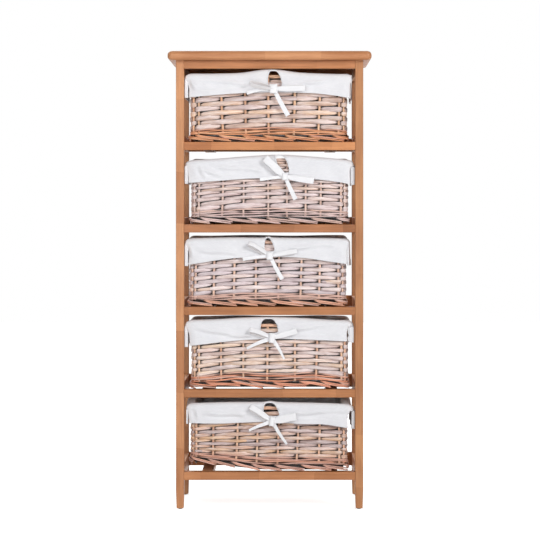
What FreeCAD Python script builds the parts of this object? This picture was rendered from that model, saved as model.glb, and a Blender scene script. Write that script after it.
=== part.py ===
import FreeCAD, Part
import math
import os

from FreeCAD import Vector

# A free-standing wooden tower with five open tiers. A loose wicker basket slides out of each
# tier. Its cotton liner folds over the rim and hangs down outside, and a ribbon bow ties the
# cut-out at the front of that flap.
# Everything is in millimetres. X runs across the front, the front faces -Y and Z is up. The
# origin is the middle of the footprint, on the floor.

# The tiers
tier_count = 5
lowest_shelf_height = 74.0
bay_height = 146.0
top_bay_height = 144.0

# The wooden frame
frame_width = 368.0
frame_depth = 254.0
post_width = 16.0
post_depth = 28.0
post_round = 1.6
leg_taper = 1.2
leg_taper_height = 36.0
rail_height = 16.0
rail_depth = 26.0
rear_rail_depth = 16.0
rear_rail_lift = 2.0
side_rail_thickness = 12.0
stop_rise = 13.0
rail_round = 1.0
slat_width = 22.0
slat_spacing = 245.0
slat_round = 1.0

# The top board
top_thickness = 18.0
top_side_overhang = 16.0
top_front_overhang = 18.0
top_corner_round = 10.0
top_upper_round = 8.0
top_lower_round = 7.0

# The glides nailed under the legs
glide_radius = 4.8
glide_height = 2.6
glide_round = 1.8
nail_radius = 1.0
nail_length = 12.0

# The furniture bolts through the posts into the rails
bolt_radius = 2.5
bolt_length = 44.0
bolt_head_radius = 4.0
bolt_head_height = 3.5
bolt_socket_radius = 2.3
bolt_socket_depth = 2.2
bolt_inset = 10.0
bolt_fit = 0.1

# The wooden dowels in the side rails and slats
dowel_radius = 3.0
dowel_reach = 10.0
dowel_pair_spacing = 14.0
dowel_fit = 0.05
dowel_end_room = 0.6

# The screws that hold the top board
screw_radius = 2.0
screw_head_radius = 3.8
screw_head_height = 2.6
screw_bite = 11.0
screw_spacing = 200.0
screw_fit = 0.1

# The wicker baskets
basket_headroom = 14.0
basket_side_gap = 10.0
basket_front_setback = 5.0
basket_rear_gap = 1.0
basket_running_gap = 0.3
foot_projection = 2.0
foot_border_height = 12.0
foot_border_round = 3.0
wall_thickness = 9.0
wall_corner_round = 17.0
rim_sag = 4.0
base_thickness = 6.0
base_lift = 5.0
# Each basket stands a little to the left of the middle, as a share of the side gap
basket_shift_shares = [-0.2, 0.0, -0.4, 0.0, -0.15]

# The weave of the walls: how far a row swings in and out past the stakes, the groove between
# two rows, how far the grooves stay outside the wall's core, and the wale below the rows
weaver_swing = 2.8
row_groove = 1.4
groove_cover = 0.6
wale_setback = 1.0
# For each basket: the height of its first row, its rows and their pitch, how much taller its
# first row is as a share of that pitch, and how much the first row rises in the middle
row_starts = [22.4, 23.6, 20.5, 25.0, 24.5]
row_counts = [11, 17, 13, 13, 14]
row_pitches = [9.0, 5.0, 7.5, 7.5, 6.85]
first_row_swell_shares = [0.0, 0.96, 0.0, 0.0, 0.0]
swell_fade_rows = 2.6
first_row_rises = [6.5, 9.0, 7.0, 7.0, 4.0]
# Where the stakes stand, as shares of the wall's half width at the front, and of the straight
# stretch at the sides
front_stake_shares = [
    [-0.881, -0.592, -0.292, -0.004, 0.325, 0.642, 0.89],
    [-0.89, -0.589, -0.326, -0.018, 0.219, 0.453, 0.648, 0.9],
    [-0.907, -0.676, -0.42, -0.148, 0.143, 0.426, 0.655, 0.889],
    [-0.89, -0.612, -0.333, -0.026, 0.321, 0.597, 0.904],
    [-0.915, -0.703, -0.396, -0.143, 0.123, 0.367, 0.639, 0.887],
]
side_stake_shares = [0.1, 0.37, 0.63, 0.9]

# The cotton liners
cloth_thickness = 2.2
cloth_gap = 0.3
billow_gap = 1.0
front_billow = 3.4
flap_drop = 47.0
hem_rise = 9.0
fold_length = 26.0
fold_depth = 1.6
# How far the cloth stands above the wicker at its corners and at its crest, as shares of the
# headroom, and how much each hem rises in the middle, as a share of hem_rise
corner_rise_shares = [0.62, 0.3, 0.62, 0.7, 0.53]
crest_rise_shares = [0.86, 0.45, 0.42, 0.8, 0.57]
hem_rise_shares = [1.0, 1.0, 1.5, 1.2, 0.5]
# How the cloth stands off the wicker at its hem, its middle and its top
billow_shares = [0.7, 1.0, 0.4]
fold_shares = [1.0, 0.6, 0.15]

# The cut-out at the front of each flap
cutout_width = 31.0
cutout_height = 29.0
cutout_cover = 3.6
# How far each cut-out lies from the middle, as a share of the wall's width, and how far its
# knot lies from the cut-out's middle, as a share of the cut-out's width
cutout_shift_shares = [0.037, 0.08, 0.008, 0.001, 0.016]
knot_shift_shares = [-0.05, 0.2, 0.0, 0.18, -0.04]

# The ribbon bows
ribbon_width = 9.5
ribbon_thickness = 1.4
loop_width = 12.0
loop_thickness = 3.6
knot_size = 11.0
knot_thickness = 5.4
knot_round = 1.6
bow_reach = 58.0
bow_drop = 27.0
bow_gap = 0.2
# For each bow: the turns of its left loop, left tail, right loop and right tail in degrees
# from the level, and their lengths as shares of bow_reach
bow_turns = [
    [164.0, 190.0, 2.0, -62.0],
    [142.0, 189.0, -10.0, -63.0],
    [152.0, 188.0, 8.5, -58.7],
    [158.0, 205.0, 14.0, -59.0],
    [147.5, 201.7, 10.0, -54.4],
]
bow_length_shares = [
    [0.88, 0.98, 1.0, 1.05],
    [1.0, 0.86, 0.98, 0.93],
    [0.81, 0.9, 0.96, 0.97],
    [0.83, 1.0, 0.86, 0.88],
    [0.97, 0.83, 0.85, 0.97],
]
bow_drop_shares = [0.98, 1.29, 1.07, 1.04, 1.16]

# One overrun that cutting tools pass through a face by
overrun = 5.0
parallel = 0.99

across = Vector(1, 0, 0)
inward = Vector(0, 1, 0)
up = Vector(0, 0, 1)

# Places worked out from the sizes above
tiers = range(1, tier_count + 1)
tier_pitch = bay_height + rail_height
frame_top = lowest_shelf_height + (tier_count - 1) * tier_pitch + top_bay_height + rail_height
tower_height = frame_top + top_thickness
half_width = frame_width / 2
half_depth = frame_depth / 2
inner_half_width = half_width - post_width
side_rail_height = rail_height + stop_rise


def shelf_top(tier):
    """The height of a shelf. Tier 1 is the highest."""
    return lowest_shelf_height + (tier_count - tier) * tier_pitch


def block(x, y, z):
    """A box between the low and high places given for each direction."""
    size = [pair[1] - pair[0] for pair in (x, y, z)]
    return Part.makeBox(*size, Vector(x[0], y[0], z[0]))


def eased(shape, radius, direction):
    """The shape with its edges along one direction rounded over."""
    edges = [
        edge
        for edge in shape.Edges
        if abs(edge.tangentAt(edge.FirstParameter).dot(direction)) > parallel
    ]
    return shape.makeFillet(radius, edges)


def save(shape, node):
    shape.exportStep("parts/" + node + ".step")
    print(node, len(shape.Solids), round(shape.Volume))


def one_solid(shape):
    """A boolean's result as one plain solid with its spare seams taken out."""
    return shape.removeSplitter().Solids[0]


def mirrored_pair(x):
    """A span on the right side and its mirror on the left, by side."""
    return {"right": (x[0], x[1]), "left": (-x[1], -x[0])}


class Row:
    """One level of rails: the heights of its front, rear and side rails."""

    def __init__(self, name, level, rear_span, side_span):
        self.name = name
        self.front_span = (level - rail_height, level)
        self.rear_span = rear_span
        self.side_span = side_span


def shelf_row(tier):
    level = shelf_top(tier)
    rear_span = (level - rail_height + rear_rail_lift, level + stop_rise)
    side_span = (level - rail_height, level + stop_rise)
    return Row(str(tier), level, rear_span, side_span)


top_row = Row(
    "top",
    frame_top,
    (frame_top - rail_height, frame_top),
    (frame_top - side_rail_height, frame_top),
)
rows = [shelf_row(tier) for tier in tiers] + [top_row]

front_rail_y = (-half_depth, -half_depth + rail_depth)
rear_rail_y = (half_depth - rear_rail_depth, half_depth)
front_bolt_y = -half_depth + bolt_inset
rear_bolt_y = half_depth - rear_rail_depth / 2
front_post_y = (-half_depth, -half_depth + post_depth)
rear_post_y = (half_depth - post_depth, half_depth)
side_rail_y = (front_post_y[1], rear_post_y[0])
side_rail_x = mirrored_pair((inner_half_width, inner_half_width + side_rail_thickness))
post_x = mirrored_pair((inner_half_width, half_width))
slat_y = (front_rail_y[1], rear_rail_y[0])


def middle(span):
    return (span[0] + span[1]) / 2


def bolt_places():
    """The outer end of each furniture bolt and the way that it points."""
    places = []
    for row in rows:
        for y, span in ((front_bolt_y, row.front_span), (rear_bolt_y, row.rear_span)):
            places.append((Vector(half_width, y, middle(span)), -across))
            places.append((Vector(-half_width, y, middle(span)), across))
    return places


def dowel_places():
    """The face that each dowel crosses, at the dowel's middle, and the dowel's direction."""
    places = []
    for row in rows:
        for side in side_rail_x.values():
            for step in (-1, 1):
                height = middle(row.side_span) + step * dowel_pair_spacing / 2
                for y in side_rail_y:
                    places.append((Vector(middle(side), y, height), inward))
    for tier in tiers:
        height = shelf_top(tier) - rail_height / 2
        for side in (-1, 1):
            for y in slat_y:
                places.append((Vector(side * slat_spacing / 2, y, height), inward))
    return places


def screw_places():
    """The underside of a top rail at each screw."""
    places = []
    for side in (-1, 1):
        for y in (middle(front_rail_y), middle(rear_rail_y)):
            places.append(Vector(side * screw_spacing / 2, y, frame_top - rail_height))
    return places


def glide_places():
    """The middle of each leg, on the floor."""
    places = []
    for x in post_x.values():
        for y in (front_post_y, rear_post_y):
            places.append(Vector(middle(x), middle(y), 0))
    return places


def bolt_cutter(place, direction):
    """The counterbore and hole for one bolt."""
    head = Part.makeCylinder(
        bolt_head_radius + bolt_fit,
        bolt_head_height + overrun,
        place - direction * overrun,
        direction,
    )
    shank = Part.makeCylinder(bolt_radius + bolt_fit, bolt_length + dowel_end_room, place, direction)
    return head.fuse(shank)


def dowel_cutter(place, direction):
    reach = dowel_reach + dowel_end_room
    return Part.makeCylinder(dowel_radius + dowel_fit, 2 * reach, place - direction * reach, direction)


def screw_cutter(place):
    head = Part.makeCone(
        screw_head_radius + screw_fit, screw_radius + screw_fit, screw_head_height, place, up
    )
    length = rail_height + screw_bite + dowel_end_room
    return head.fuse(Part.makeCylinder(screw_radius + screw_fit, length, place, up))


def nail_cutter(place):
    return Part.makeCylinder(nail_radius, glide_height + nail_length, place, up)


cutters = [bolt_cutter(*place) for place in bolt_places()]
cutters += [dowel_cutter(*place) for place in dowel_places()]
cutters += [screw_cutter(place) for place in screw_places()]
cutters += [nail_cutter(place) for place in glide_places()]


def drilled(shape):
    """The wooden piece with the holes of every fastener that reaches it."""
    tools = [cutter for cutter in cutters if cutter.BoundBox.intersect(shape.BoundBox)]
    return shape.cut(tools) if tools else shape


def post(x, y):
    """A post that narrows a little on both sides towards its foot."""
    taper_start = glide_height + leg_taper_height
    outline = [
        (x[0] + leg_taper, glide_height),
        (x[1] - leg_taper, glide_height),
        (x[1], taper_start),
        (x[1], frame_top),
        (x[0], frame_top),
        (x[0], taper_start),
    ]
    points = [Vector(px, y[0], pz) for px, pz in outline]
    face = Part.Face(Part.makePolygon(points + points[:1]))
    return eased(face.extrude(inward * (y[1] - y[0])), post_round, up)


def rail(x, y, z, direction):
    return eased(block(x, y, z), rail_round, direction)


def top_board():
    """The board with a bullnose all round."""
    half_x = half_width + top_side_overhang
    half_y = half_depth + top_front_overhang
    board = block((-half_x, half_x), (-half_y, half_y), (frame_top, tower_height))
    board = eased(board, top_corner_round, up)
    half_way = (frame_top + tower_height) / 2
    upper = [edge for edge in board.Edges if edge.BoundBox.ZMin > half_way]
    board = board.makeFillet(top_upper_round, upper)
    lower = [edge for edge in board.Edges if edge.BoundBox.ZMax < half_way]
    return board.makeFillet(top_lower_round, lower)


def make_frame():
    save(drilled(top_board()), "top_board")
    for side, x in post_x.items():
        save(drilled(post(x, front_post_y)), "front_" + side + "_post")
        save(drilled(post(x, rear_post_y)), "rear_" + side + "_post")
    inside = (-inner_half_width, inner_half_width)
    for row in rows:
        front_name = "top_front_rail" if row is top_row else "front_rail_" + row.name
        rear_name = "top_rear_rail" if row is top_row else "rear_rail_" + row.name
        save(drilled(rail(inside, front_rail_y, row.front_span, across)), front_name)
        save(drilled(rail(inside, rear_rail_y, row.rear_span, across)), rear_name)
        for side, x in side_rail_x.items():
            side_name = "side_rail_" + side + "_" + row.name
            save(drilled(rail(x, side_rail_y, row.side_span, inward)), side_name)
    for tier in tiers:
        save(Part.Compound([slat(tier, side) for side in (-1, 1)]), "shelf_slats_" + str(tier))


def slat(tier, side):
    """One of the two bars that carry a basket from the front rail to the rear rail."""
    centre = side * slat_spacing / 2
    x = (centre - slat_width / 2, centre + slat_width / 2)
    z = (shelf_top(tier) - rail_height, shelf_top(tier))
    return drilled(eased(block(x, slat_y, z), slat_round, inward))


def glide(place):
    """A domed glide, cut flat underneath, with its nail."""
    dome = Part.makeCylinder(glide_radius, glide_height, place, up)
    rim = [edge for edge in dome.Edges if edge.BoundBox.ZMax < glide_height / 2]
    dome = dome.makeFillet(glide_round, rim)
    nail = Part.makeCylinder(nail_radius, glide_height + nail_length, place + up * glide_height / 2, up)
    return one_solid(dome.fuse(nail.common(nail_cutter(place))))


def bolt(place, direction):
    """A bolt with a six-sided socket in its head."""
    head = Part.makeCylinder(bolt_head_radius, bolt_head_height, place, direction)
    shank = Part.makeCylinder(bolt_radius, bolt_length, place, direction)
    corners = []
    for step in range(7):
        turn = math.radians(60 * step)
        offset = Vector(0, math.cos(turn), math.sin(turn)) * bolt_socket_radius
        corners.append(place - direction * overrun + offset)
    socket = Part.Face(Part.makePolygon(corners)).extrude(direction * (bolt_socket_depth + overrun))
    return one_solid(head.fuse(shank).cut(socket))


def dowel(place, direction):
    return Part.makeCylinder(dowel_radius, 2 * dowel_reach, place - direction * dowel_reach, direction)


def screw(place):
    """A countersunk screw with a cross cut in its head."""
    head = Part.makeCone(screw_head_radius, screw_radius, screw_head_height, place, up)
    shank = Part.makeCylinder(screw_radius, rail_height + screw_bite, place, up)
    arm = screw_head_radius / 2
    slot = screw_radius / 4
    depth = (-overrun, screw_head_height / 2)
    cross = block((-arm, arm), (-slot, slot), depth).fuse(block((-slot, slot), (-arm, arm), depth))
    cross.translate(place)
    return one_solid(head.fuse(shank).cut(cross))


def make_fasteners():
    save(Part.Compound([glide(place) for place in glide_places()]), "foot_glides")
    save(Part.Compound([bolt(*place) for place in bolt_places()]), "frame_bolts")
    save(Part.Compound([dowel(*place) for place in dowel_places()]), "frame_dowels")
    save(Part.Compound([screw(place) for place in screw_places()]), "top_screws")


# The baskets' common sizes
foot_half_width = inner_half_width - basket_side_gap
foot_front_y = -half_depth + basket_front_setback
foot_rear_y = rear_rail_y[0] - basket_rear_gap
basket_middle_y = (foot_front_y + foot_rear_y) / 2
foot_half_depth = (foot_rear_y - foot_front_y) / 2
wall_half_width = foot_half_width - foot_projection
wall_half_depth = foot_half_depth - foot_projection
wall_height = min(bay_height, top_bay_height) - basket_headroom
largest_shift = max(abs(share) for share in basket_shift_shares) * basket_side_gap
flap_half_width = inner_half_width - billow_gap - largest_shift
flap_half_depth = wall_half_depth + cloth_thickness + front_billow
tub_half_width = wall_half_width - wall_thickness - cloth_gap
tub_half_depth = wall_half_depth - wall_thickness - cloth_gap
tub_corner_round = wall_corner_round - wall_thickness - cloth_gap


class Basket:
    """Where one basket stands and the heights of its parts."""

    def __init__(self, tier):
        index = tier - 1
        self.tier = tier
        self.x = basket_shift_shares[index] * basket_side_gap
        self.bottom = shelf_top(tier) + basket_running_gap
        self.rim_crest = self.bottom + wall_height
        self.front_stakes = [share * wall_half_width for share in front_stake_shares[index]]
        self.row_heights = [self.bottom + row_starts[index]]
        for row in range(row_counts[index]):
            swell = 1 + first_row_swell_shares[index] * math.exp(-row / swell_fade_rows)
            self.row_heights.append(self.row_heights[-1] + row_pitches[index] * swell)
        self.first_row_rise = first_row_rises[index]
        self.rim_corner = self.rim_crest - rim_sag
        self.cloth_crest = self.rim_crest + crest_rise_shares[index] * basket_headroom
        self.cloth_corner = self.rim_corner + corner_rise_shares[index] * basket_headroom
        self.hem_corner = self.cloth_corner - flap_drop
        self.hem_crest = self.hem_corner + hem_rise_shares[index] * hem_rise
        self.floor = self.bottom + base_lift + base_thickness
        self.cutout_x = self.x + cutout_shift_shares[index] * 2 * wall_half_width
        self.knot_x = self.cutout_x + knot_shift_shares[index] * cutout_width
        self.knot_height = self.rim_crest - bow_drop * bow_drop_shares[index]
        self.turns = bow_turns[index]
        self.lengths = [share * bow_reach for share in bow_length_shares[index]]


def quarter(centre, radius, turn):
    """A quarter circle on a level plane, starting at the turn in degrees."""
    points = []
    for step in (0, 45, 90):
        angle = math.radians(turn + step)
        points.append(centre + Vector(math.cos(angle), math.sin(angle), 0) * radius)
    return Part.Arc(*points).toShape()


def plan_wire(half_x, half_y, radius, x, z, fold=0.0):
    """A rounded rectangle seen from above. A fold puts two waves beside each corner, along
    the front and the rear."""
    centre = Vector(x, basket_middle_y, z)
    edges = []
    for turn, run_half, along, out in (
        (270, half_x - radius, Vector(1, 0, 0), Vector(0, -1, 0)),
        (0, half_y - radius, Vector(0, 1, 0), Vector(1, 0, 0)),
        (90, half_x - radius, Vector(-1, 0, 0), Vector(0, 1, 0)),
        (180, half_y - radius, Vector(0, -1, 0), Vector(-1, 0, 0)),
    ):
        reach = half_y if abs(out.y) else half_x
        start = centre + out * reach - along * run_half
        end = centre + out * reach + along * run_half
        if fold and abs(out.y):
            edges += folded_run(start, end, along, out, fold)
        else:
            edges.append(Part.makeLine(start, end))
        edges.append(quarter(end - out * radius, radius, turn))
    return Part.Wire(edges)


def folded_run(start, end, along, out, fold):
    """Two shallow waves at each end of a run, with a straight stretch between them."""
    edges = []
    place = start
    for sign in (1, -1):
        top = place + along * fold_length / 2 + out * fold * sign
        nearest = place + along * fold_length
        edges.append(Part.Arc(place, top, nearest).toShape())
        place = nearest
    far = end - along * fold_length * 2
    edges.append(Part.makeLine(place, far))
    place = far
    for sign in (-1, 1):
        top = place + along * fold_length / 2 + out * fold * sign
        nearest = place + along * fold_length
        edges.append(Part.Arc(place, top, nearest).toShape())
        place = nearest
    return edges


def plan_block(half_x, half_y, radius, x, z):
    wire = plan_wire(half_x, half_y, radius, x, z[0])
    return Part.Face(wire).extrude(up * (z[1] - z[0]))


def arched_edge(x, side_height, crest_height):
    """An edge across the basket, in front of it, that rises in the middle."""
    half_x = flap_half_width + overrun
    front_y = basket_middle_y - flap_half_depth - overrun
    left = Vector(x - half_x, front_y, side_height)
    right = Vector(x + half_x, front_y, side_height)
    if crest_height == side_height:
        return Part.makeLine(left, right)
    return Part.Arc(left, Vector(x, front_y, crest_height), right).toShape()


def arched_slab(x, low, high):
    """Everything between two such edges, each given as its side height and its crest."""
    lower, upper = arched_edge(x, *low), arched_edge(x, *high)
    ends = [Part.makeLine(a.Point, b.Point) for a, b in zip(lower.Vertexes, upper.Vertexes)]
    face = Part.Face(Part.Wire([lower, ends[1], upper, ends[0]]))
    return face.extrude(inward * 2 * (flap_half_depth + overrun))


def arch_cutter(x, side_height, crest_height, far_height):
    """Everything between a curve that arches across the basket and a level far from it."""
    return arched_slab(x, (side_height, crest_height), (far_height, far_height))


class Ring:
    """A rounded rectangle seen from above, followed by distance from its front left bend."""

    def __init__(self, half_x, half_y, radius, x):
        self.half_x, self.half_y, self.radius, self.x = half_x, half_y, radius, x
        self.bend = math.pi / 2 * radius
        self.runs = [2 * (half_x - radius), 2 * (half_y - radius)] * 2

    def front_distance(self, x):
        """The distance at which the front has a given X, its bends included."""
        flat = self.half_x - self.radius
        past = max(0, abs(x) - flat)
        return math.copysign(min(abs(x), flat) + math.asin(past / self.radius) * self.radius, x) + flat

    def side_start(self, side):
        """The distance at which the straight stretch of a side starts, counted from the front."""
        return sum(self.runs[:side]) + side * self.bend

    def length(self):
        return sum(self.runs) + len(self.runs) * self.bend

    def bend_ends(self):
        """The distances at which the bends start and end."""
        starts = [self.side_start(side) for side in range(len(self.runs))]
        return sorted(starts[1:] + [start + run for start, run in zip(starts, self.runs)] + [self.length()])

    def point(self, distance, offset):
        """The point at a distance, moved outwards by the offset."""
        side, rest = 0, distance % self.length()
        while rest >= self.runs[side] + self.bend:
            rest -= self.runs[side] + self.bend
            side += 1
        turn = side * math.pi / 2 + max(0, rest - self.runs[side]) / self.radius
        out = Vector(math.sin(turn), -math.cos(turn), 0)
        turn = side * math.pi / 2
        along = Vector(math.cos(turn), math.sin(turn), 0)
        across_run = Vector(math.sin(turn), -math.cos(turn), 0)
        reach = (self.half_y, self.half_x)[side % 2] - self.radius
        start = Vector(self.x, basket_middle_y, 0) + across_run * reach - along * self.runs[side] / 2
        return start + along * min(rest, self.runs[side]) + out * (self.radius + offset)


def stake_distances(ring, front_stakes):
    """How far round the ring each stake stands, from the first one at the front."""
    places = [ring.front_distance(x) for x in front_stakes]
    for side in range(len(ring.runs)):
        corner = ring.side_start(side) + ring.runs[side] + ring.bend / 2
        places.append(corner)
        if side % 2 == 0:
            start = ring.side_start(side + 1)
            places += [start + share * ring.runs[side + 1] for share in side_stake_shares]
    rear_start, rear_run = ring.side_start(2), ring.runs[2]
    count = len(front_stakes)
    places += [rear_start + rear_run * (step + 1 / 2) / count for step in range(count)]
    return sorted(places)


def randing_block(basket, first_side):
    """The room of a row of weaving that swings out and in from stake to stake."""
    swing = weaver_swing
    ring = Ring(wall_half_width - swing, wall_half_depth - swing, wall_corner_round - swing, basket.x)
    places = stake_distances(ring, basket.front_stakes)
    bends = ring.bend_ends()
    points = []
    for index, (place, beyond) in enumerate(zip(places, places[1:] + [places[0] + ring.length()])):
        offset = first_side * (-1) ** index * swing
        points.append(ring.point(place, offset))
        for end in bends:
            share = (end - place) / (beyond - place)
            if 0 < share < 1:
                points.append(ring.point(end, offset * (1 - 2 * share)))
    face = Part.Face(Part.makePolygon(points + points[:1]))
    face.translate(up * basket.bottom)
    return face.extrude(up * wall_height)


def randing(basket):
    """The rows of the wall, each passing before and behind the stakes in turn."""
    slabs = ([], [])
    rows = len(basket.row_heights) - 1
    for row in range(rows):
        rises = []
        for level in (row, row + 1):
            share = level / rows
            rises.append(basket.first_row_rise * (1 - share) + rim_sag * share)
        low = basket.row_heights[row] + row_groove / 2
        high = basket.row_heights[row + 1] - row_groove / 2
        slabs[row % 2].append(arched_slab(basket.x, (low, low + rises[0]), (high, high + rises[1])))
    solids = []
    for first_side, group in zip((1, -1), slabs):
        solids += randing_block(basket, first_side).common(Part.Compound(group)).Solids
    return solids


def wale(basket):
    """The band of thin rods between the foot border and the first row."""
    inset = wale_setback
    span = (basket.bottom, basket.rim_crest)
    band = plan_block(
        wall_half_width - inset, wall_half_depth - inset, wall_corner_round - inset, basket.x, span
    )
    low = basket.bottom + foot_border_height + row_groove
    high = basket.row_heights[0] - row_groove / 2
    return band.common(arched_slab(basket.x, (low, low), (high, high + basket.first_row_rise)))


def rim_band(basket):
    """The rim above the last row, before its top is arched."""
    band = plan_block(
        wall_half_width, wall_half_depth, wall_corner_round, basket.x, (basket.bottom, basket.rim_crest)
    )
    low = basket.row_heights[-1] + row_groove / 2
    far = basket.rim_crest + overrun
    return band.common(arched_slab(basket.x, (low, low + rim_sag), (far, far)))


def basket_wall(basket):
    """The woven wall: its rows, its thicker foot border, its wale and its arched rim."""
    x = basket.x
    span = (basket.bottom, basket.rim_crest)
    inset = 2 * weaver_swing + groove_cover
    core = plan_block(
        wall_half_width - inset, wall_half_depth - inset, wall_corner_round - inset, x, span
    )
    foot_round = wall_corner_round + foot_projection
    foot_span = (basket.bottom, basket.bottom + foot_border_height)
    foot = plan_block(foot_half_width, foot_half_depth, foot_round, x, foot_span)
    level_edges = [edge for edge in foot.Edges if edge.BoundBox.ZLength < foot_border_height / 2]
    foot = foot.makeFillet(foot_border_round, level_edges)
    inner = plan_block(
        wall_half_width - wall_thickness,
        wall_half_depth - wall_thickness,
        wall_corner_round - wall_thickness,
        x,
        (basket.bottom - overrun, basket.rim_crest + overrun),
    )
    above = arch_cutter(x, basket.rim_corner, basket.rim_crest, basket.rim_crest + overrun)
    bands = [foot, wale(basket), rim_band(basket)] + randing(basket)
    return one_solid(core.fuse(bands).cut(inner).cut(above))


def basket_base(basket):
    """The woven bottom, set up inside the foot border."""
    low = basket.bottom + base_lift
    return plan_block(
        wall_half_width - wall_thickness,
        wall_half_depth - wall_thickness,
        wall_corner_round - wall_thickness,
        basket.x,
        (low, low + base_thickness),
    )


def flap_loft(basket, inset, low, high):
    """The billowing outside of the flap, or its inside when inset by the cloth's thickness."""
    wires = []
    heights = (low, (low + high) / 2, high)
    for height, billow, fold in zip(heights, billow_shares, fold_shares):
        half_x = wall_half_width + cloth_thickness
        half_x += (flap_half_width - half_x) * billow - inset
        half_y = wall_half_depth + cloth_thickness
        half_y += (flap_half_depth - half_y) * billow - inset
        radius = wall_corner_round + cloth_thickness - inset
        wires.append(plan_wire(half_x, half_y, radius, basket.x, height, fold=fold * fold_depth))
    return Part.makeLoft(wires, True, True)


def liner(basket):
    """A cotton tub inside the basket, folded over the rim and hanging down outside it."""
    low = basket.hem_corner - overrun
    high = max(basket.cloth_crest, basket.cloth_corner) + overrun
    flap = flap_loft(basket, 0, low, high)
    flap = flap.cut(arch_cutter(basket.x, basket.hem_corner, basket.hem_crest, low - overrun))
    tub = plan_block(
        tub_half_width, tub_half_depth, tub_corner_round, basket.x, (basket.floor, high)
    )
    gap = flap_loft(basket, cloth_thickness, low, high).cut(tub)
    over_rim = arch_cutter(
        basket.x,
        basket.cloth_corner - cloth_thickness,
        basket.cloth_crest - cloth_thickness,
        high + overrun,
    )
    hollow = plan_block(
        tub_half_width - cloth_thickness,
        tub_half_depth - cloth_thickness,
        tub_corner_round - cloth_thickness,
        basket.x,
        (basket.floor + cloth_thickness, high + overrun),
    )
    above = arch_cutter(basket.x, basket.cloth_corner, basket.cloth_crest, high + overrun)
    cloth = flap.fuse(tub).cut(gap.cut(over_rim)).cut(hollow).cut(above)
    return one_solid(cloth.cut(cutout(basket)))


def cutout(basket):
    """The arched cut-out in the front flap, just under the fold."""
    top = basket.cloth_crest - cutout_cover
    low = top - cutout_height
    half = cutout_width / 2
    front_y = basket_middle_y - flap_half_depth - overrun
    back_y = basket_middle_y - wall_half_depth
    x = basket.cutout_x
    spring = top - half
    left = Vector(x - half, front_y, spring)
    right = Vector(x + half, front_y, spring)
    edges = [
        Part.Arc(left, Vector(x, front_y, top), right).toShape(),
        Part.makeLine(right, Vector(x + half, front_y, low)),
        Part.makeLine(Vector(x + half, front_y, low), Vector(x - half, front_y, low)),
        Part.makeLine(Vector(x - half, front_y, low), left),
    ]
    return Part.Face(Part.Wire(edges)).extrude(inward * (back_y - front_y))


def strap(origin, turn, length, width, thickness, round_end):
    """One limb of a bow: a flat strip from the knot, lying against the flap."""
    half = width / 2
    run = length - half if round_end else length
    corners = [Vector(0, 0, -half), Vector(run, 0, -half), Vector(run, 0, half), Vector(0, 0, half)]
    edges = [Part.makeLine(corners[0], corners[1])]
    if round_end:
        edges.append(Part.Arc(corners[1], Vector(length, 0, 0), corners[2]).toShape())
    else:
        edges.append(Part.makeLine(corners[1], corners[2]))
    edges += [Part.makeLine(corners[2], corners[3]), Part.makeLine(corners[3], corners[0])]
    shape = Part.Face(Part.Wire(edges)).extrude(-inward * thickness)
    shape.rotate(Vector(0, 0, 0), inward, -turn)
    shape.translate(origin)
    return shape


def bow(basket):
    """A knot with two loops and two tails."""
    back_y = basket_middle_y - flap_half_depth - bow_gap
    origin = Vector(basket.knot_x, back_y, basket.knot_height)
    half = knot_size / 2
    knot = block((-half, half), (-knot_thickness, 0), (-half, half))
    knot = eased(knot, knot_round, inward)
    knot.translate(origin)
    limbs = []
    for index, (turn, length) in enumerate(zip(basket.turns, basket.lengths)):
        is_loop = index % 2 == 0
        width = loop_width if is_loop else ribbon_width
        thickness = loop_thickness if is_loop else ribbon_thickness
        limbs.append(strap(origin, turn, length, width, thickness, is_loop))
    return one_solid(knot.fuse(limbs))


def make_baskets():
    for tier in tiers:
        basket = Basket(tier)
        save(basket_wall(basket), "basket_wall_" + str(tier))
        save(basket_base(basket), "basket_base_" + str(tier))
        save(liner(basket), "liner_" + str(tier))
        save(bow(basket), "bow_" + str(tier))
        print("basket", tier, "inside", inside_of(basket))


def inside_of(basket):
    """The clear room inside the liner, from its low corner to its high corner."""
    half_x = tub_half_width - cloth_thickness
    half_y = tub_half_depth - cloth_thickness
    low = Vector(basket.x - half_x, basket_middle_y - half_y, basket.floor + cloth_thickness)
    high = Vector(basket.x + half_x, basket_middle_y + half_y, basket.cloth_corner)
    return low, high


os.makedirs("parts", exist_ok=True)
make_frame()
make_fasteners()
make_baskets()
print("the whole height is", tower_height)
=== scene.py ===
# %% [markdown]
# # A drawer tower with five lined wicker baskets
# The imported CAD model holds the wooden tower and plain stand-ins for the baskets. This lesson
# gives the wood its finish and makes the soft and woven goods: willow baskets, cotton liners
# and ribbon bows. Lengths are written in millimetres, as on a maker's drawing, and turned
# into metres only when a mesh is made.

import math

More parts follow.
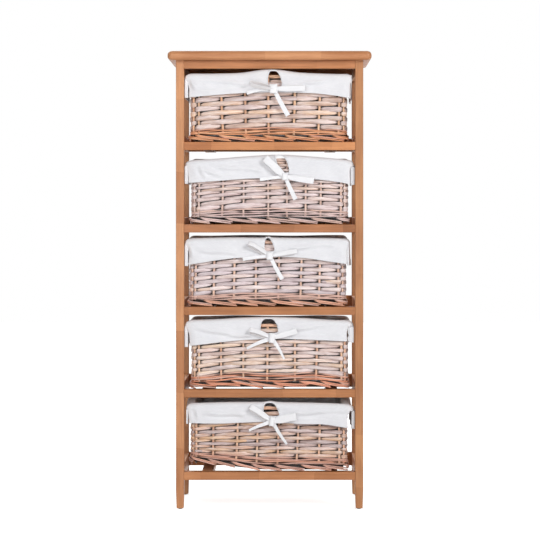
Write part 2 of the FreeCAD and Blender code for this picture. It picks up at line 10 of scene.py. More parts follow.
import bpy
import numpy as np
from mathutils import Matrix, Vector


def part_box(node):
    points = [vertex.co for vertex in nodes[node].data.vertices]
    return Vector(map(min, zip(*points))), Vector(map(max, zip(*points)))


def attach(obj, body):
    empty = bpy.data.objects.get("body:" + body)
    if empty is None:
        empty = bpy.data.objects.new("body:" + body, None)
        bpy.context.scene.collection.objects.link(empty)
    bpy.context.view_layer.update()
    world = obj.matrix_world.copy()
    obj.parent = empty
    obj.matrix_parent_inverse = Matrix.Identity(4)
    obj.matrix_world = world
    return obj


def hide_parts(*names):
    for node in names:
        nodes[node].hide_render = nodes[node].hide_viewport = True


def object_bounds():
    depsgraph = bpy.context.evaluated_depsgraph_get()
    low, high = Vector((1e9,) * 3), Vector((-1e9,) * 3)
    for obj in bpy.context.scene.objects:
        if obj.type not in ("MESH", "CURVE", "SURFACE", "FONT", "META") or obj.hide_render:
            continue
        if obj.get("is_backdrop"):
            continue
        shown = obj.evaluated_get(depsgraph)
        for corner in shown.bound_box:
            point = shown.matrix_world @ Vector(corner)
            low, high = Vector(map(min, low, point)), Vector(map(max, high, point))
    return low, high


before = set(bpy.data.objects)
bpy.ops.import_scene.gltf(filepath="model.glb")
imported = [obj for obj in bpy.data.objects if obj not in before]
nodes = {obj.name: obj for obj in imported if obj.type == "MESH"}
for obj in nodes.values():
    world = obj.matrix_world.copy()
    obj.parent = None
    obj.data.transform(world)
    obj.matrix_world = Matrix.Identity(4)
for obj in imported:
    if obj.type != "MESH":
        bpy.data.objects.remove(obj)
cad_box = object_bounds()
MM = 0.001
TIERS = range(1, 6)
print("CAD nodes:", len(nodes), "top of the box:", round(cad_box[1].z, 4))

# %% [markdown]
# ## The camera
# The photograph was taken level, from far away, a little right of the middle and at the height
# of the second basket. Aiming the camera would make the posts lean, so it stays level and its
# lens is shifted instead. The lens follows from one measured number: how many pixels a metre
# takes in the plane of the front posts.

# %% Camera
PICTURE = 540
SENSOR_WIDTH = 36.0
EYE = Vector((0.0322, -4.727, 0.604))
POST_FACE_Y = -0.127
PIXELS_PER_METRE = 509.3
AXIS_PIXEL = (286.0, 202.0)

camera_data = bpy.data.cameras.new("camera")
camera_data.sensor_width = SENSOR_WIDTH
camera_data.lens = SENSOR_WIDTH * PIXELS_PER_METRE * (POST_FACE_Y - EYE.y) / PICTURE
camera_data.shift_x = (PICTURE / 2 - AXIS_PIXEL[0]) / PICTURE
camera_data.shift_y = (AXIS_PIXEL[1] - PICTURE / 2) / PICTURE
camera_data.clip_end = 50.0
camera = bpy.data.objects.new("camera", camera_data)
camera.location = EYE
camera.rotation_euler = (math.radians(90), 0.0, 0.0)
bpy.context.scene.collection.objects.link(camera)
bpy.context.scene.camera = camera
print("lens:", round(camera_data.lens, 1), "mm")


def from_picture(pixel, y):
    """The X and Z in millimetres of a pixel, for a point at depth y."""
    scale = PIXELS_PER_METRE * MM * (POST_FACE_Y - EYE.y) / (y * MM - EYE.y)
    x = EYE.x / MM + (pixel[0] - AXIS_PIXEL[0]) / scale
    z = EYE.z / MM + (AXIS_PIXEL[1] - pixel[1]) / scale
    return x, z


# %% [markdown]
# ## Small helpers for shader nodes
# Every finish below is a node group with named inputs and outputs, which a material places
# with its own values. Short helpers keep the node code readable. They open a group or a
# material, place a node and join its sockets, rescale a value, mix two colours, draw a noise
# out along one axis, and feed a finished surface to its shader.

# %% Node helpers
SOCKETS = {
    "value": "NodeSocketFloat",
    "colour": "NodeSocketColor",
    "vector": "NodeSocketVector",
}


def open_group(name, inputs, outputs):
    """A new shader group with its sockets, and its input and output nodes."""
    group = bpy.data.node_groups.new(name, "ShaderNodeTree")
    for label, kind, start in inputs:
        socket = group.interface.new_socket(label, in_out="INPUT", socket_type=SOCKETS[kind])
        if start is not None:
            socket.default_value = start
    for label, kind in outputs:
        group.interface.new_socket(label, in_out="OUTPUT", socket_type=SOCKETS[kind])
    return group, group.nodes.new("NodeGroupInput"), group.nodes.new("NodeGroupOutput")


def open_material(name):
    """A new material with its tree and its Principled BSDF."""
    material = bpy.data.materials.new(name)
    material.use_nodes = True
    tree = material.node_tree
    return material, tree, tree.nodes["Principled BSDF"]


def connect(tree, made, inputs):
    """Gives inputs of a node their sources: a socket to link or a value to set."""
    for socket, source in inputs.items():
        if isinstance(source, bpy.types.NodeSocket):
            tree.links.new(source, made.inputs[socket])
        else:
            made.inputs[socket].default_value = source


def place(tree, kind, inputs=None, **settings):
    """A node with its settings and its inputs."""
    made = tree.nodes.new(kind)
    for name, value in settings.items():
        setattr(made, name, value)
    connect(tree, made, inputs or {})
    return made


def place_group(tree, group, inputs):
    """A shader group placed in a material."""
    return place(tree, "ShaderNodeGroup", inputs, node_tree=group)


def reckon(tree, operation, first, second=0.0, third=0.0):
    """One Math node, as its output."""
    inputs = {0: first, 1: second, 2: third}
    return place(tree, "ShaderNodeMath", inputs, operation=operation).outputs[0]


def rescale(tree, value, low, high, new_low, new_high):
    """Turns the range low to high into new_low to new_high, and clamps it."""
    inputs = {0: value, 1: low, 2: high, 3: new_low, 4: new_high}
    return place(tree, "ShaderNodeMapRange", inputs).outputs[0]


def blend_colours(tree, share, first, second, blend_type="MIX"):
    """A Mix node for colours, as its output."""
    inputs = {0: share, 6: first, 7: second}
    settings = {"data_type": "RGBA", "blend_type": blend_type}
    return place(tree, "ShaderNodeMix", inputs, **settings).outputs[2]


def scale_axes(tree, vector, factors):
    """A vector with each axis multiplied by a factor of its own."""
    inputs = {0: vector, 1: factors}
    return place(tree, "ShaderNodeVectorMath", inputs, operation="MULTIPLY").outputs[0]


def noise(tree, at, scale, detail, squeeze=1.0):
    """Noise at a place. A squeeze under 1 draws it out along the first axis."""
    if squeeze != 1.0:
        at = scale_axes(tree, at, (squeeze, 1.0, 1.0))
    inputs = {"Vector": at, "Scale": scale, "Detail": detail}
    return place(tree, "ShaderNodeTexNoise", inputs).outputs[0]


def from_points(tree, name, output):
    """What a mesh keeps on its points under a name."""
    return place(tree, "ShaderNodeAttribute", attribute_name=name).outputs[output]


def dress_shader(tree, shader, surface, bump, constants):
    """Feeds colour, roughness and relief to a shader, and sets what is the same all over."""
    strength, distance = bump
    inputs = {"Strength": strength, "Distance": distance, "Height": surface["Height"]}
    relief = place(tree, "ShaderNodeBump", inputs).outputs["Normal"]
    feeds = {"Base Color": surface["Color"], "Roughness": surface["Roughness"], "Normal": relief}
    connect(tree, shader, feeds | constants)


def paint_from_srgb(red, green, blue):
    """A colour as a picture shows it, from 0 to 255, as the linear colour of a node."""
    shares = [channel / 255 for channel in (red, green, blue)]
    linear = [c / 12.92 if c <= 0.04045 else ((c + 0.055) / 1.055) ** 2.4 for c in shares]
    return (*linear, 1.0)


print("socket kinds:", sorted(SOCKETS))

# %% [markdown]
# ## Studio light and a white floor
# A product photograph like this one has a big soft light in front and a weak fill from all
# round, so the front is evenly lit and the spaces behind the baskets fall dark. A lamp behind
# and above keeps the rear and the top readable from other angles. The fill is the world. It
# shows as plain white to the camera, in reflections and through clear things, and lights the
# object at a low strength. The floor is white and glows to the same rays, so it melts into the
# background. Round the tower's feet it glows a little less, so that it still takes the shadow.

# %% Light, world and floor
WORLD_STRENGTH = 0.17
LAMPS = {
    # name: place, the height that it faces on the tower's axis, size in metres and watts
    "key_light": ((2.5, -3.2, 2.1), 0.5, 1.3, 90.0),
    "fill_light": ((-1.5, -3.6, 1.3), 0.45, 2.2, 52.0),
    "low_light": ((0.2, -3.2, 0.4), 0.35, 1.2, 9.0),
    "rear_light": ((-1.5, 3.4, 2.9), 0.5, 2.2, 70.0),
}
scene = bpy.context.scene
scene.view_settings.view_transform = "Standard"


def soft_light(name, stand, aim_height, size, watts):
    """A square area light that faces the tower's axis."""
    data = bpy.data.lights.new(name, "AREA")
    data.shape = "SQUARE"
    data.size = size
    data.energy = watts
    lamp = bpy.data.objects.new(name, data)
    lamp.location = stand
    lamp.rotation_mode = "QUATERNION"
    aim = Vector((0.0, 0.0, aim_height)) - Vector(stand)
    lamp.rotation_quaternion = aim.to_track_quat("-Z", "Y")
    scene.collection.objects.link(lamp)


def sight_rays(tree):
    """1 for the camera's rays and for those reflected by gloss or sent through glass, else 0."""
    rays = place(tree, "ShaderNodeLightPath").outputs
    seen = rays["Is Camera Ray"]
    for kind in ("Is Glossy Ray", "Is Transmission Ray"):
        seen = reckon(tree, "MAXIMUM", seen, rays[kind])
    return seen


def white_world(strength):
    """A world that looks white and lights the object with the given strength."""
    world = bpy.data.worlds.new("studio")
    world.use_nodes = True
    tree = world.node_tree
    level = rescale(tree, sight_rays(tree), 0.0, 1.0, strength, 1.0)
    connect(tree, tree.nodes["Background"], {"Color": (1.0, 1.0, 1.0, 1.0), "Strength": level})
    return world


def white_floor(side, glow_near, near, far):
    """A square floor that glows to the sight rays alone, a little less round the tower."""
    mesh = bpy.data.meshes.new("floor")
    half = side / 2
    corners = [(-half, -half, 0), (half, -half, 0), (half, half, 0), (-half, half, 0)]
    mesh.from_pydata(corners, [], [(0, 1, 2, 3)])
    paint, tree, shader = open_material("white_floor")
    on_floor = place(tree, "ShaderNodeTexCoord").outputs["Object"]
    reach = place(tree, "ShaderNodeVectorMath", {0: on_floor}, operation="LENGTH").outputs["Value"]
    glow = rescale(tree, reach, near, far, glow_near, 1.0)
    looks = {
        "Base Color": (0.8, 0.8, 0.8, 1.0),
        "Roughness": 0.9,
        "Specular IOR Level": 0.1,
        "Emission Color": reckon(tree, "MULTIPLY", glow, sight_rays(tree)),
        "Emission Strength": 1.0,
    }
    connect(tree, shader, looks)
    mesh.materials.append(paint)
    floor = bpy.data.objects.new("floor", mesh)
    scene.collection.objects.link(floor)
    floor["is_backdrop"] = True


for name, lamp in LAMPS.items():
    soft_light(name, *lamp)
scene.world = white_world(WORLD_STRENGTH)
white_floor(side=14.0, glow_near=0.82, near=0.25, far=0.8)

# %% [markdown]
# ## Stained softwood
# The tower is made of short staves, glued end to end and stained orange-brown under a thin
# satin lacquer. Each stave took the stain a little differently, so the rails change tone
# every hand's breadth. Long fibres run along each piece, and broad clouds lie over them.
# A picture of wood would stretch on narrow rails, so the group builds the pattern from noise
# in the object's own space, with its first axis turned along the grain.

# %% Wood grain group
wood_grain, given, result = open_group(
    "wood_grain",
    [
        ("Place", "vector", None),
        ("Seed", "value", 0.0),
        ("Pale", "colour", None),
        ("Deep", "colour", None),
        ("Stave Length", "value", 0.11),
        ("Stave Width", "value", 1.0),
        ("Fibre Strength", "value", 0.42),
    ],
    [("Color", "colour"), ("Height", "value"), ("Roughness", "value")],
)
tree = wood_grain
own = given.outputs
seed_shift = scale_axes(tree, own["Seed"], (3.1, 5.7, 4.3))
moved = place(tree, "ShaderNodeVectorMath", {0: own["Place"], 1: seed_shift}).outputs[0]
fibres = noise(tree, moved, scale=300.0, detail=3.0, squeeze=0.045)
pores = noise(tree, moved, scale=1100.0, detail=1.0, squeeze=0.03)
clouds = noise(tree, moved, scale=26.0, detail=3.0, squeeze=0.4)
along = place(tree, "ShaderNodeSeparateXYZ", {0: moved}).outputs[0]
across = place(tree, "ShaderNodeSeparateXYZ", {0: own["Place"]}).outputs[1]
plank = reckon(tree, "FLOOR", reckon(tree, "DIVIDE", across, own["Stave Width"]))
wavy = reckon(tree, "MULTIPLY_ADD", clouds, 0.012, along)
wavy = reckon(tree, "MULTIPLY_ADD", plank, 0.37, wavy)
staves = {"W": reckon(tree, "DIVIDE", wavy, own["Stave Length"]), "Scale": 1.0, "Randomness": 0.7}
stave = place(tree, "ShaderNodeTexVoronoi", staves, voronoi_dimensions="1D").outputs["Color"]
stave_tone = place(tree, "ShaderNodeSeparateColor", {0: stave}).outputs[0]
fibre_part = rescale(tree, fibres, 0.3, 0.7, -0.5, 0.5)
fibre_part = reckon(tree, "MULTIPLY", fibre_part, own["Fibre Strength"])
cloud_part = rescale(tree, clouds, 0.3, 0.7, -0.28, 0.28)
stave_part = rescale(tree, stave_tone, 0.0, 1.0, -0.3, 0.3)
tone = reckon(tree, "ADD", reckon(tree, "ADD", fibre_part, cloud_part), stave_part)
tone = reckon(tree, "ADD", tone, 0.5)
pore_mask = rescale(tree, pores, 0.66, 0.74, 0.0, 0.22)
colour = blend_colours(tree, tone, own["Deep"], own["Pale"])
colour = blend_colours(tree, pore_mask, colour, paint_from_srgb(104, 62, 36))
surface = {
    "Color": colour,
    "Height": reckon(tree, "SUBTRACT", fibres, pore_mask),
    "Roughness": rescale(tree, fibres, 0.3, 0.7, 0.4, 0.54),
}
connect(tree, result, surface)
print("wood_grain:", len(tree.nodes), "nodes")

# %% [markdown]
# ## One finish, three grain directions
# Wood grain runs along each piece, so posts, rails and slats need the same group turned three
# ways. The turning is a reordering of the object's X, Y and Z, which costs two nodes. Each
# piece gets its own random number as a seed, so no two rails repeat. The board is wide, so it
# is glued up from several rows of staves, and a stave width gives each row its own tones.

# %% Wood materials
LACQUER = {"Specular IOR Level": 0.35, "Coat Weight": 0.12, "Coat Roughness": 0.35}
WOODS = {
    # finish: the grain's axis and the two others, the pale tone, the deep one and, for the
    # board, how wide its rows of staves are in metres
    "upright": ("ZXY", (191, 135, 89), (151, 95, 56)),
    "crosswise": ("XYZ", (208, 141, 90), (167, 103, 57)),
    "board": ("XYZ", (218, 158, 112), (179, 118, 76), 0.0485),
    "front_to_rear": ("YZX", (243, 186, 142), (212, 152, 110)),
    "paler_post": ("ZXY", (206, 147, 102), (167, 108, 66)),
    "darker_rails": ("XYZ", (193, 130, 84), (148, 91, 48)),
    "deepest_rail": ("XYZ", (179, 117, 75), (136, 82, 43)),
}


def make_wood(name, order, pale, deep, stave_width=1.0, bump=0.12):
    """Stained wood whose grain runs along the first axis named in order."""
    material, tree, shader = open_material(name)
    own_place = place(tree, "ShaderNodeTexCoord").outputs["Object"]
    split = place(tree, "ShaderNodeSeparateXYZ", {0: own_place}).outputs
    turned = {slot: split[axis] for slot, axis in enumerate(order)}
    inputs = {
        "Place": place(tree, "ShaderNodeCombineXYZ", turned).outputs[0],
        "Seed": place(tree, "ShaderNodeObjectInfo").outputs["Random"],
        "Pale": paint_from_srgb(*pale),
        "Deep": paint_from_srgb(*deep),
        "Stave Width": stave_width,
    }
    grain = place_group(tree, wood_grain, inputs)
    dress_shader(tree, shader, grain.outputs, (bump, 0.0006), LACQUER)
    return material


woods = {kind: make_wood(f"stained_wood_{kind}", *looks) for kind, looks in WOODS.items()}
woods["beech"] = make_wood("raw_beech", "XYZ", (222, 188, 146), (196, 156, 112), bump=0.2)
print("wood materials:", [m.name for m in bpy.data.materials if "wood" in m.name])

# %% [markdown]
# ## Zinc-plated steel and moulded plastic
# The furniture bolts and screws are bright zinc over rolled steel, with cloudy patches and
# fine marks from tumbling in the plating drum. The glides are grey plastic with the fine
# leather-like skin of a cheap mould. Both need one more shared effect: a fine speckle.

# %% Metal and plastic
speckle, given, result = open_group(
    "fine_speckle",
    [("Place", "vector", None), ("Grain Size", "value", 0.001)],
    [("Mask", "value"), ("Height", "value")],
)
tree = speckle
grains_per_metre = reckon(tree, "DIVIDE", 1.0, given.outputs["Grain Size"])
dots = noise(tree, given.outputs["Place"], grains_per_metre, 2.0)
connect(tree, result, {"Mask": rescale(tree, dots, 0.35, 0.65, 0.0, 1.0), "Height": dots})


def make_speckled(name, pale, deep, grain, metallic, roughness, bump):
    """A finish whose colour and roughness both follow the fine speckle."""
    material, tree, shader = open_material(name)
    own_place = place(tree, "ShaderNodeTexCoord").outputs["Object"]
    spots = place_group(tree, speckle, {"Place": own_place, "Grain Size": grain}).outputs
    surface = {
        "Color": blend_colours(tree, spots["Mask"], deep, pale),
        "Roughness": rescale(tree, spots["Mask"], 0.0, 1.0, *roughness),
        "Height": spots["Height"],
    }
    dress_shader(tree, shader, surface, (bump, 0.0003), {"Metallic": metallic})
    return material


zinc = make_speckled(
    "zinc_plating",
    pale=(0.62, 0.62, 0.6, 1.0),
    deep=(0.45, 0.45, 0.44, 1.0),
    grain=0.0025,
    metallic=1.0,
    roughness=(0.28, 0.45),
    bump=0.1,
)
plastic = make_speckled(
    "grey_moulded_plastic",
    pale=(0.16, 0.16, 0.15, 1.0),
    deep=(0.1, 0.1, 0.095, 1.0),
    grain=0.0006,
    metallic=0.0,
    roughness=(0.5, 0.65),
    bump=0.3,
)
print("speckled materials:", zinc.name, plastic.name)

# %% [markdown]
# ## Dress the CAD frame
# The CAD pieces have the right shapes, so they stay as they are, and only their material slots
# change. The name of each node says which way its grain runs.

# %% Give each CAD piece its finish
FINISHES = {
    # the first word that a node's name holds gives its finish
    "front_left_post": woods["paler_post"],
    "post": woods["upright"],
    "side_rail": woods["front_to_rear"],
    "slats": woods["front_to_rear"],
    "dowels": woods["beech"],
    "bolts": zinc,
    "screws": zinc,
    "glides": plastic,
    "front_rail_1": woods["crosswise"],
    "front_rail_2": woods["deepest_rail"],
    "front_rail": woods["darker_rails"],
    "rail": woods["crosswise"],
    "board": woods["board"],
}
SOFT_STANDINS = ("basket_wall", "basket_base", "liner", "bow")
finished = 0
for name, piece in nodes.items():
    if name.startswith(SOFT_STANDINS):
        continue
    finish = next(material for word, material in FINISHES.items() if word in name)
    for material_slot in piece.material_slots:
        material_slot.material = finish
    finished += 1
print("CAD pieces finished:", finished)

# %% [markdown]
# ## Rods
# Everything in a basket is a rod that follows a line: it has a direction, an outward side and
# an upper side. Blender's curve bevel could draw such rods, but it can't flatten, taper and
# twist each one on its own, so a short sweep in numpy makes the mesh directly. Each vertex
# keeps its rod's colour, its shade and its place along and around the rod, so the willow's
# bark fibres can follow every bend.

# %% Directions and cross-sections
UP = (0, 0, 1)


def signed_power(wave, power):
    """A wave to a power, with its sign kept. A power under 1 squares its rounds off."""
    return np.sign(wave) * np.abs(wave) ** power


def unit(vectors):
    """The direction of each row of vectors."""
    return vectors / np.linalg.norm(vectors, axis=1)[:, None]


def tangents(path):
    """The direction of a line at each of its points."""
    return unit(np.gradient(path, axis=0))


def cross_section(sides, square):
    """Points round a rod: a circle at square 1, nearly a rectangle at 0.4."""
    turn = (np.arange(sides) + 0.5) * 2 * np.pi / sides
    return [signed_power(wave, square) for wave in (np.cos(turn), np.sin(turn))]


def ring_line(ring, swing, heights):
    """A line and its outward sides: a ring's points moved outwards by swing, at heights."""
    points, outward = ring
    path = np.column_stack([points + outward * np.reshape(swing, (-1, 1)), heights])
    return path, np.column_stack([outward, np.zeros(len(outward))])


print("a squared-off rod reaches", np.max(cross_section(8, 0.4)).round(2), "of its half width")

# %% [markdown]
# ## Bundles
# A basket has well over a hundred rods, and an object for each would be slow to handle, so a
# bundle gathers the rods of one piece and makes a single mesh. It also holds the piece's own
# chance, a random generator with a seed that follows from its tier and kind. A change to one
# piece then leaves all the others as they were.

# %% A bundle of rods
WHITE = (1, 1, 1, 1)
GIRTH_SHARE = 1.6
PIECES = ("stakes", "randing", "foot", "rim", "bottom", "binding", "bow")


class Bundle:
    """Many rods that end up in one mesh."""

    def __init__(self, tier, kind):
        self.chance = np.random.default_rng(100 * tier + PIECES.index(kind))
        self.points, self.faces = [], []
        self.places, self.colours, self.shades = [], [], []
        self.total = 0

    def add(self, path, out, up, thick, wide, colour, sides=8, square=1.0, shade=1.0):
        """One rod along path. thick is its size towards out, and wide its size towards up."""
        path = np.asarray(path, float)
        count = len(path)
        out, up = (np.broadcast_to(np.asarray(side, float), path.shape) for side in (out, up))
        sizes = (np.asarray(size, float) for size in (thick, wide, shade))
        thick, wide, shade = (np.broadcast_to(size, (count,)) for size in sizes)
        across, high = cross_section(sides, square)
        skin = (
            path[:, None, :]
            + out[:, None, :] * (thick[:, None] / 2 * across)[:, :, None]
            + up[:, None, :] * (wide[:, None] / 2 * high)[:, :, None]
        )
        index = self.total + np.arange(count * sides).reshape(count, sides)
        here, beside = index[:-1], np.roll(index[:-1], -1, axis=1)
        there, across_there = index[1:], np.roll(index[1:], -1, axis=1)
        quads = np.stack([here, there, across_there, beside], axis=-1).reshape(-1, 4)
        middle = count // 2
        heading = path[min(middle + 1, count - 1)] - path[middle - 1]
        caps = [index[0].tolist(), index[-1][::-1].tolist()]
        if np.dot(np.cross(out[middle], up[middle]), heading) > 0:
            quads = quads[:, ::-1]
            caps = [cap[::-1] for cap in caps]
        steps = np.linalg.norm(np.diff(path, axis=0), axis=1)
        along = np.concatenate([[0.0], np.cumsum(steps)])
        girth = np.arange(sides) / sides * (thick.mean() + wide.mean()) * GIRTH_SHARE
        place_on_rod = np.empty((count, sides, 3))
        place_on_rod[..., 0] = along[:, None] * MM
        place_on_rod[..., 1] = girth * MM
        place_on_rod[..., 2] = self.chance.uniform(0, 50)
        tints = np.broadcast_to(np.asarray(colour, float), (count, 4))
        self.points.append(skin.reshape(-1, 3))
        self.faces += quads.tolist() + caps
        self.places.append(place_on_rod.reshape(-1, 3))
        self.colours.append(np.repeat(tints, sides, axis=0))
        self.shades.append(np.repeat(shade, sides))
        self.total += count * sides

    def make(self, name, material, settle=None):
        """The mesh object. settle moves the points to where the piece really lies."""
        points = np.concatenate(self.points)
        if settle is not None:
            points = settle(points)
        piece = mesh_piece(name, points, self.faces, material)
        keep_on_points(piece, "rod_place", "FLOAT_VECTOR", "vector", np.concatenate(self.places))
        keep_on_points(piece, "rod_colour", "FLOAT_COLOR", "color", np.concatenate(self.colours))
        keep_on_points(piece, "rod_shade", "FLOAT", "value", np.concatenate(self.shades))
        return piece


def mesh_piece(name, points, faces, material):
    """A smooth mesh object from points in millimetres."""
    mesh = bpy.data.meshes.new(name)
    mesh.from_pydata((np.asarray(points) * MM).tolist(), [], faces)
    mesh.polygons.foreach_set("use_smooth", [True] * len(mesh.polygons))
    mesh.materials.append(material)
    piece = bpy.data.objects.new(name, mesh)
    scene.collection.objects.link(piece)
    return piece


def keep_on_points(piece, name, kind, field, values):
    """Stores one value for each vertex, for the materials to read."""
    attribute = piece.data.attributes.new(name, kind, "POINT")
    attribute.data.foreach_set(field, np.asarray(values, np.float32).ravel())


trial = Bundle(tier=0, kind="randing")
trial.add([(0, 0, 0), (10, 0, 0), (20, 0, 0)], (0, -1, 0), UP, 2.0, 4.0, WHITE)
print("a rod of two lengths has", trial.total, "points and", len(trial.faces), "faces")

# %% [markdown]
# ## The plan of a basket
# All rods of a wall run round the same plan, a rectangle with round corners. The Plan class
# turns a distance round that line into a point and its outward direction. It starts at the
# left end of the front and runs to the right, round the basket, in eight runs: a side, a
# corner, and so on. Rows of the weave, the rim and the foot all ask it for their places.

# %% Plan of a ring
BASKET_MIDDLE_Y = -6.0
WALL_HALF_WIDTH = 156.0
CORNER_RUNS = (1, 3, 5, 7)
SIDE_RUNS = (2, 6)
REAR_RUN = 4


class Plan:
    """A rectangle with round corners, followed by distance."""

    def __init__(self, half_x, half_y, corner):
        self.half_x, self.corner = half_x, corner
        long_run, short_run = 2 * (half_x - corner), 2 * (half_y - corner)
        bend = math.pi * corner / 2
        self.runs = np.array([long_run, bend, short_run, bend] * 2)
        self.starts = np.concatenate([[0.0], np.cumsum(self.runs)])
        self.length = self.starts[-1]
        x, y = half_x - corner, half_y - corner
        corners = [(-x, -y), (x, -y), (x, y), (-x, y)]
        self.centres = np.array([corners[(run + 1) // 2 % 4] for run in range(8)])

    def at(self, distance):
        """Points and outward directions, for distances round the ring."""
        distance = np.mod(np.asarray(distance, float), self.length)
        run = np.clip(np.searchsorted(self.starts, distance, side="right") - 1, 0, 7)
        return self.on_run(run, distance - self.starts[run])

    def on_run(self, run, beyond):
        """The same, for a distance beyond the start of one of the eight runs."""
        straight = run % 2 == 0
        bent = np.where(straight, 0.0, beyond / max(self.corner, 1e-6))
        turn = (run // 2) * math.pi / 2 + bent
        outward = np.column_stack([np.sin(turn), -np.cos(turn)])
        heading = np.column_stack([np.cos(turn), np.sin(turn)])
        ahead = np.where(straight, beyond, 0.0)[:, None]
        points = self.centres[run] + outward * self.corner + heading * ahead
        points[:, 1] += BASKET_MIDDLE_Y
        return points, outward

    def front_distance(self, x):
        """How far round the ring the front reaches a given X, its round corners included."""
        flat = self.half_x - self.corner
        past = np.clip((abs(x) - flat) / self.corner, 0.0, 0.95)
        bend = math.copysign(math.asin(past) * self.corner, x) if abs(x) > flat else 0.0
        return float(np.clip(x, -flat, flat)) + flat + bend


STAKE_PLAN = Plan(151.5, 109.5, 12.5)
print("round the stakes:", round(STAKE_PLAN.length), "mm")

# %% [markdown]
# ## What differs from basket to basket
# The five baskets are one pattern, but each was woven and dressed by hand. The table holds what
# the photograph shows of each. Places that were read from the picture stay in pixels, as
# (across, down), and are turned into millimetres where they are used. The rows are the CAD
# model's.
#
# The shift is how far to the right the basket stands, and the stroke is the length of a stroke
# of its foot border. The rim's two heights, in the middle of the front, are those of its rope
# and of the top of the weave. The ears say how far out the cloth's turned-out corners reach at
# tip and root, left and right. The rows have a count, a start, a pitch, a swell that makes the
# first ones taller, and a rise in the middle. The stakes are the X of each one at half height,
# and the leans say how far its foot stands to the right of its top. Willow, foot and stake are
# colours, from 0 to 255. The top, hem, left and right edges are those of the liner's front
# flap. The knot has its place in the picture, then its width and height in millimetres. The
# rear's top is the height of the liner's rear fold, and the side rise is how much higher than a
# straight line from front to rear its sides stand. The cut-out has its four corners, from the
# upper left one to the right and round, and each crease has its two ends.

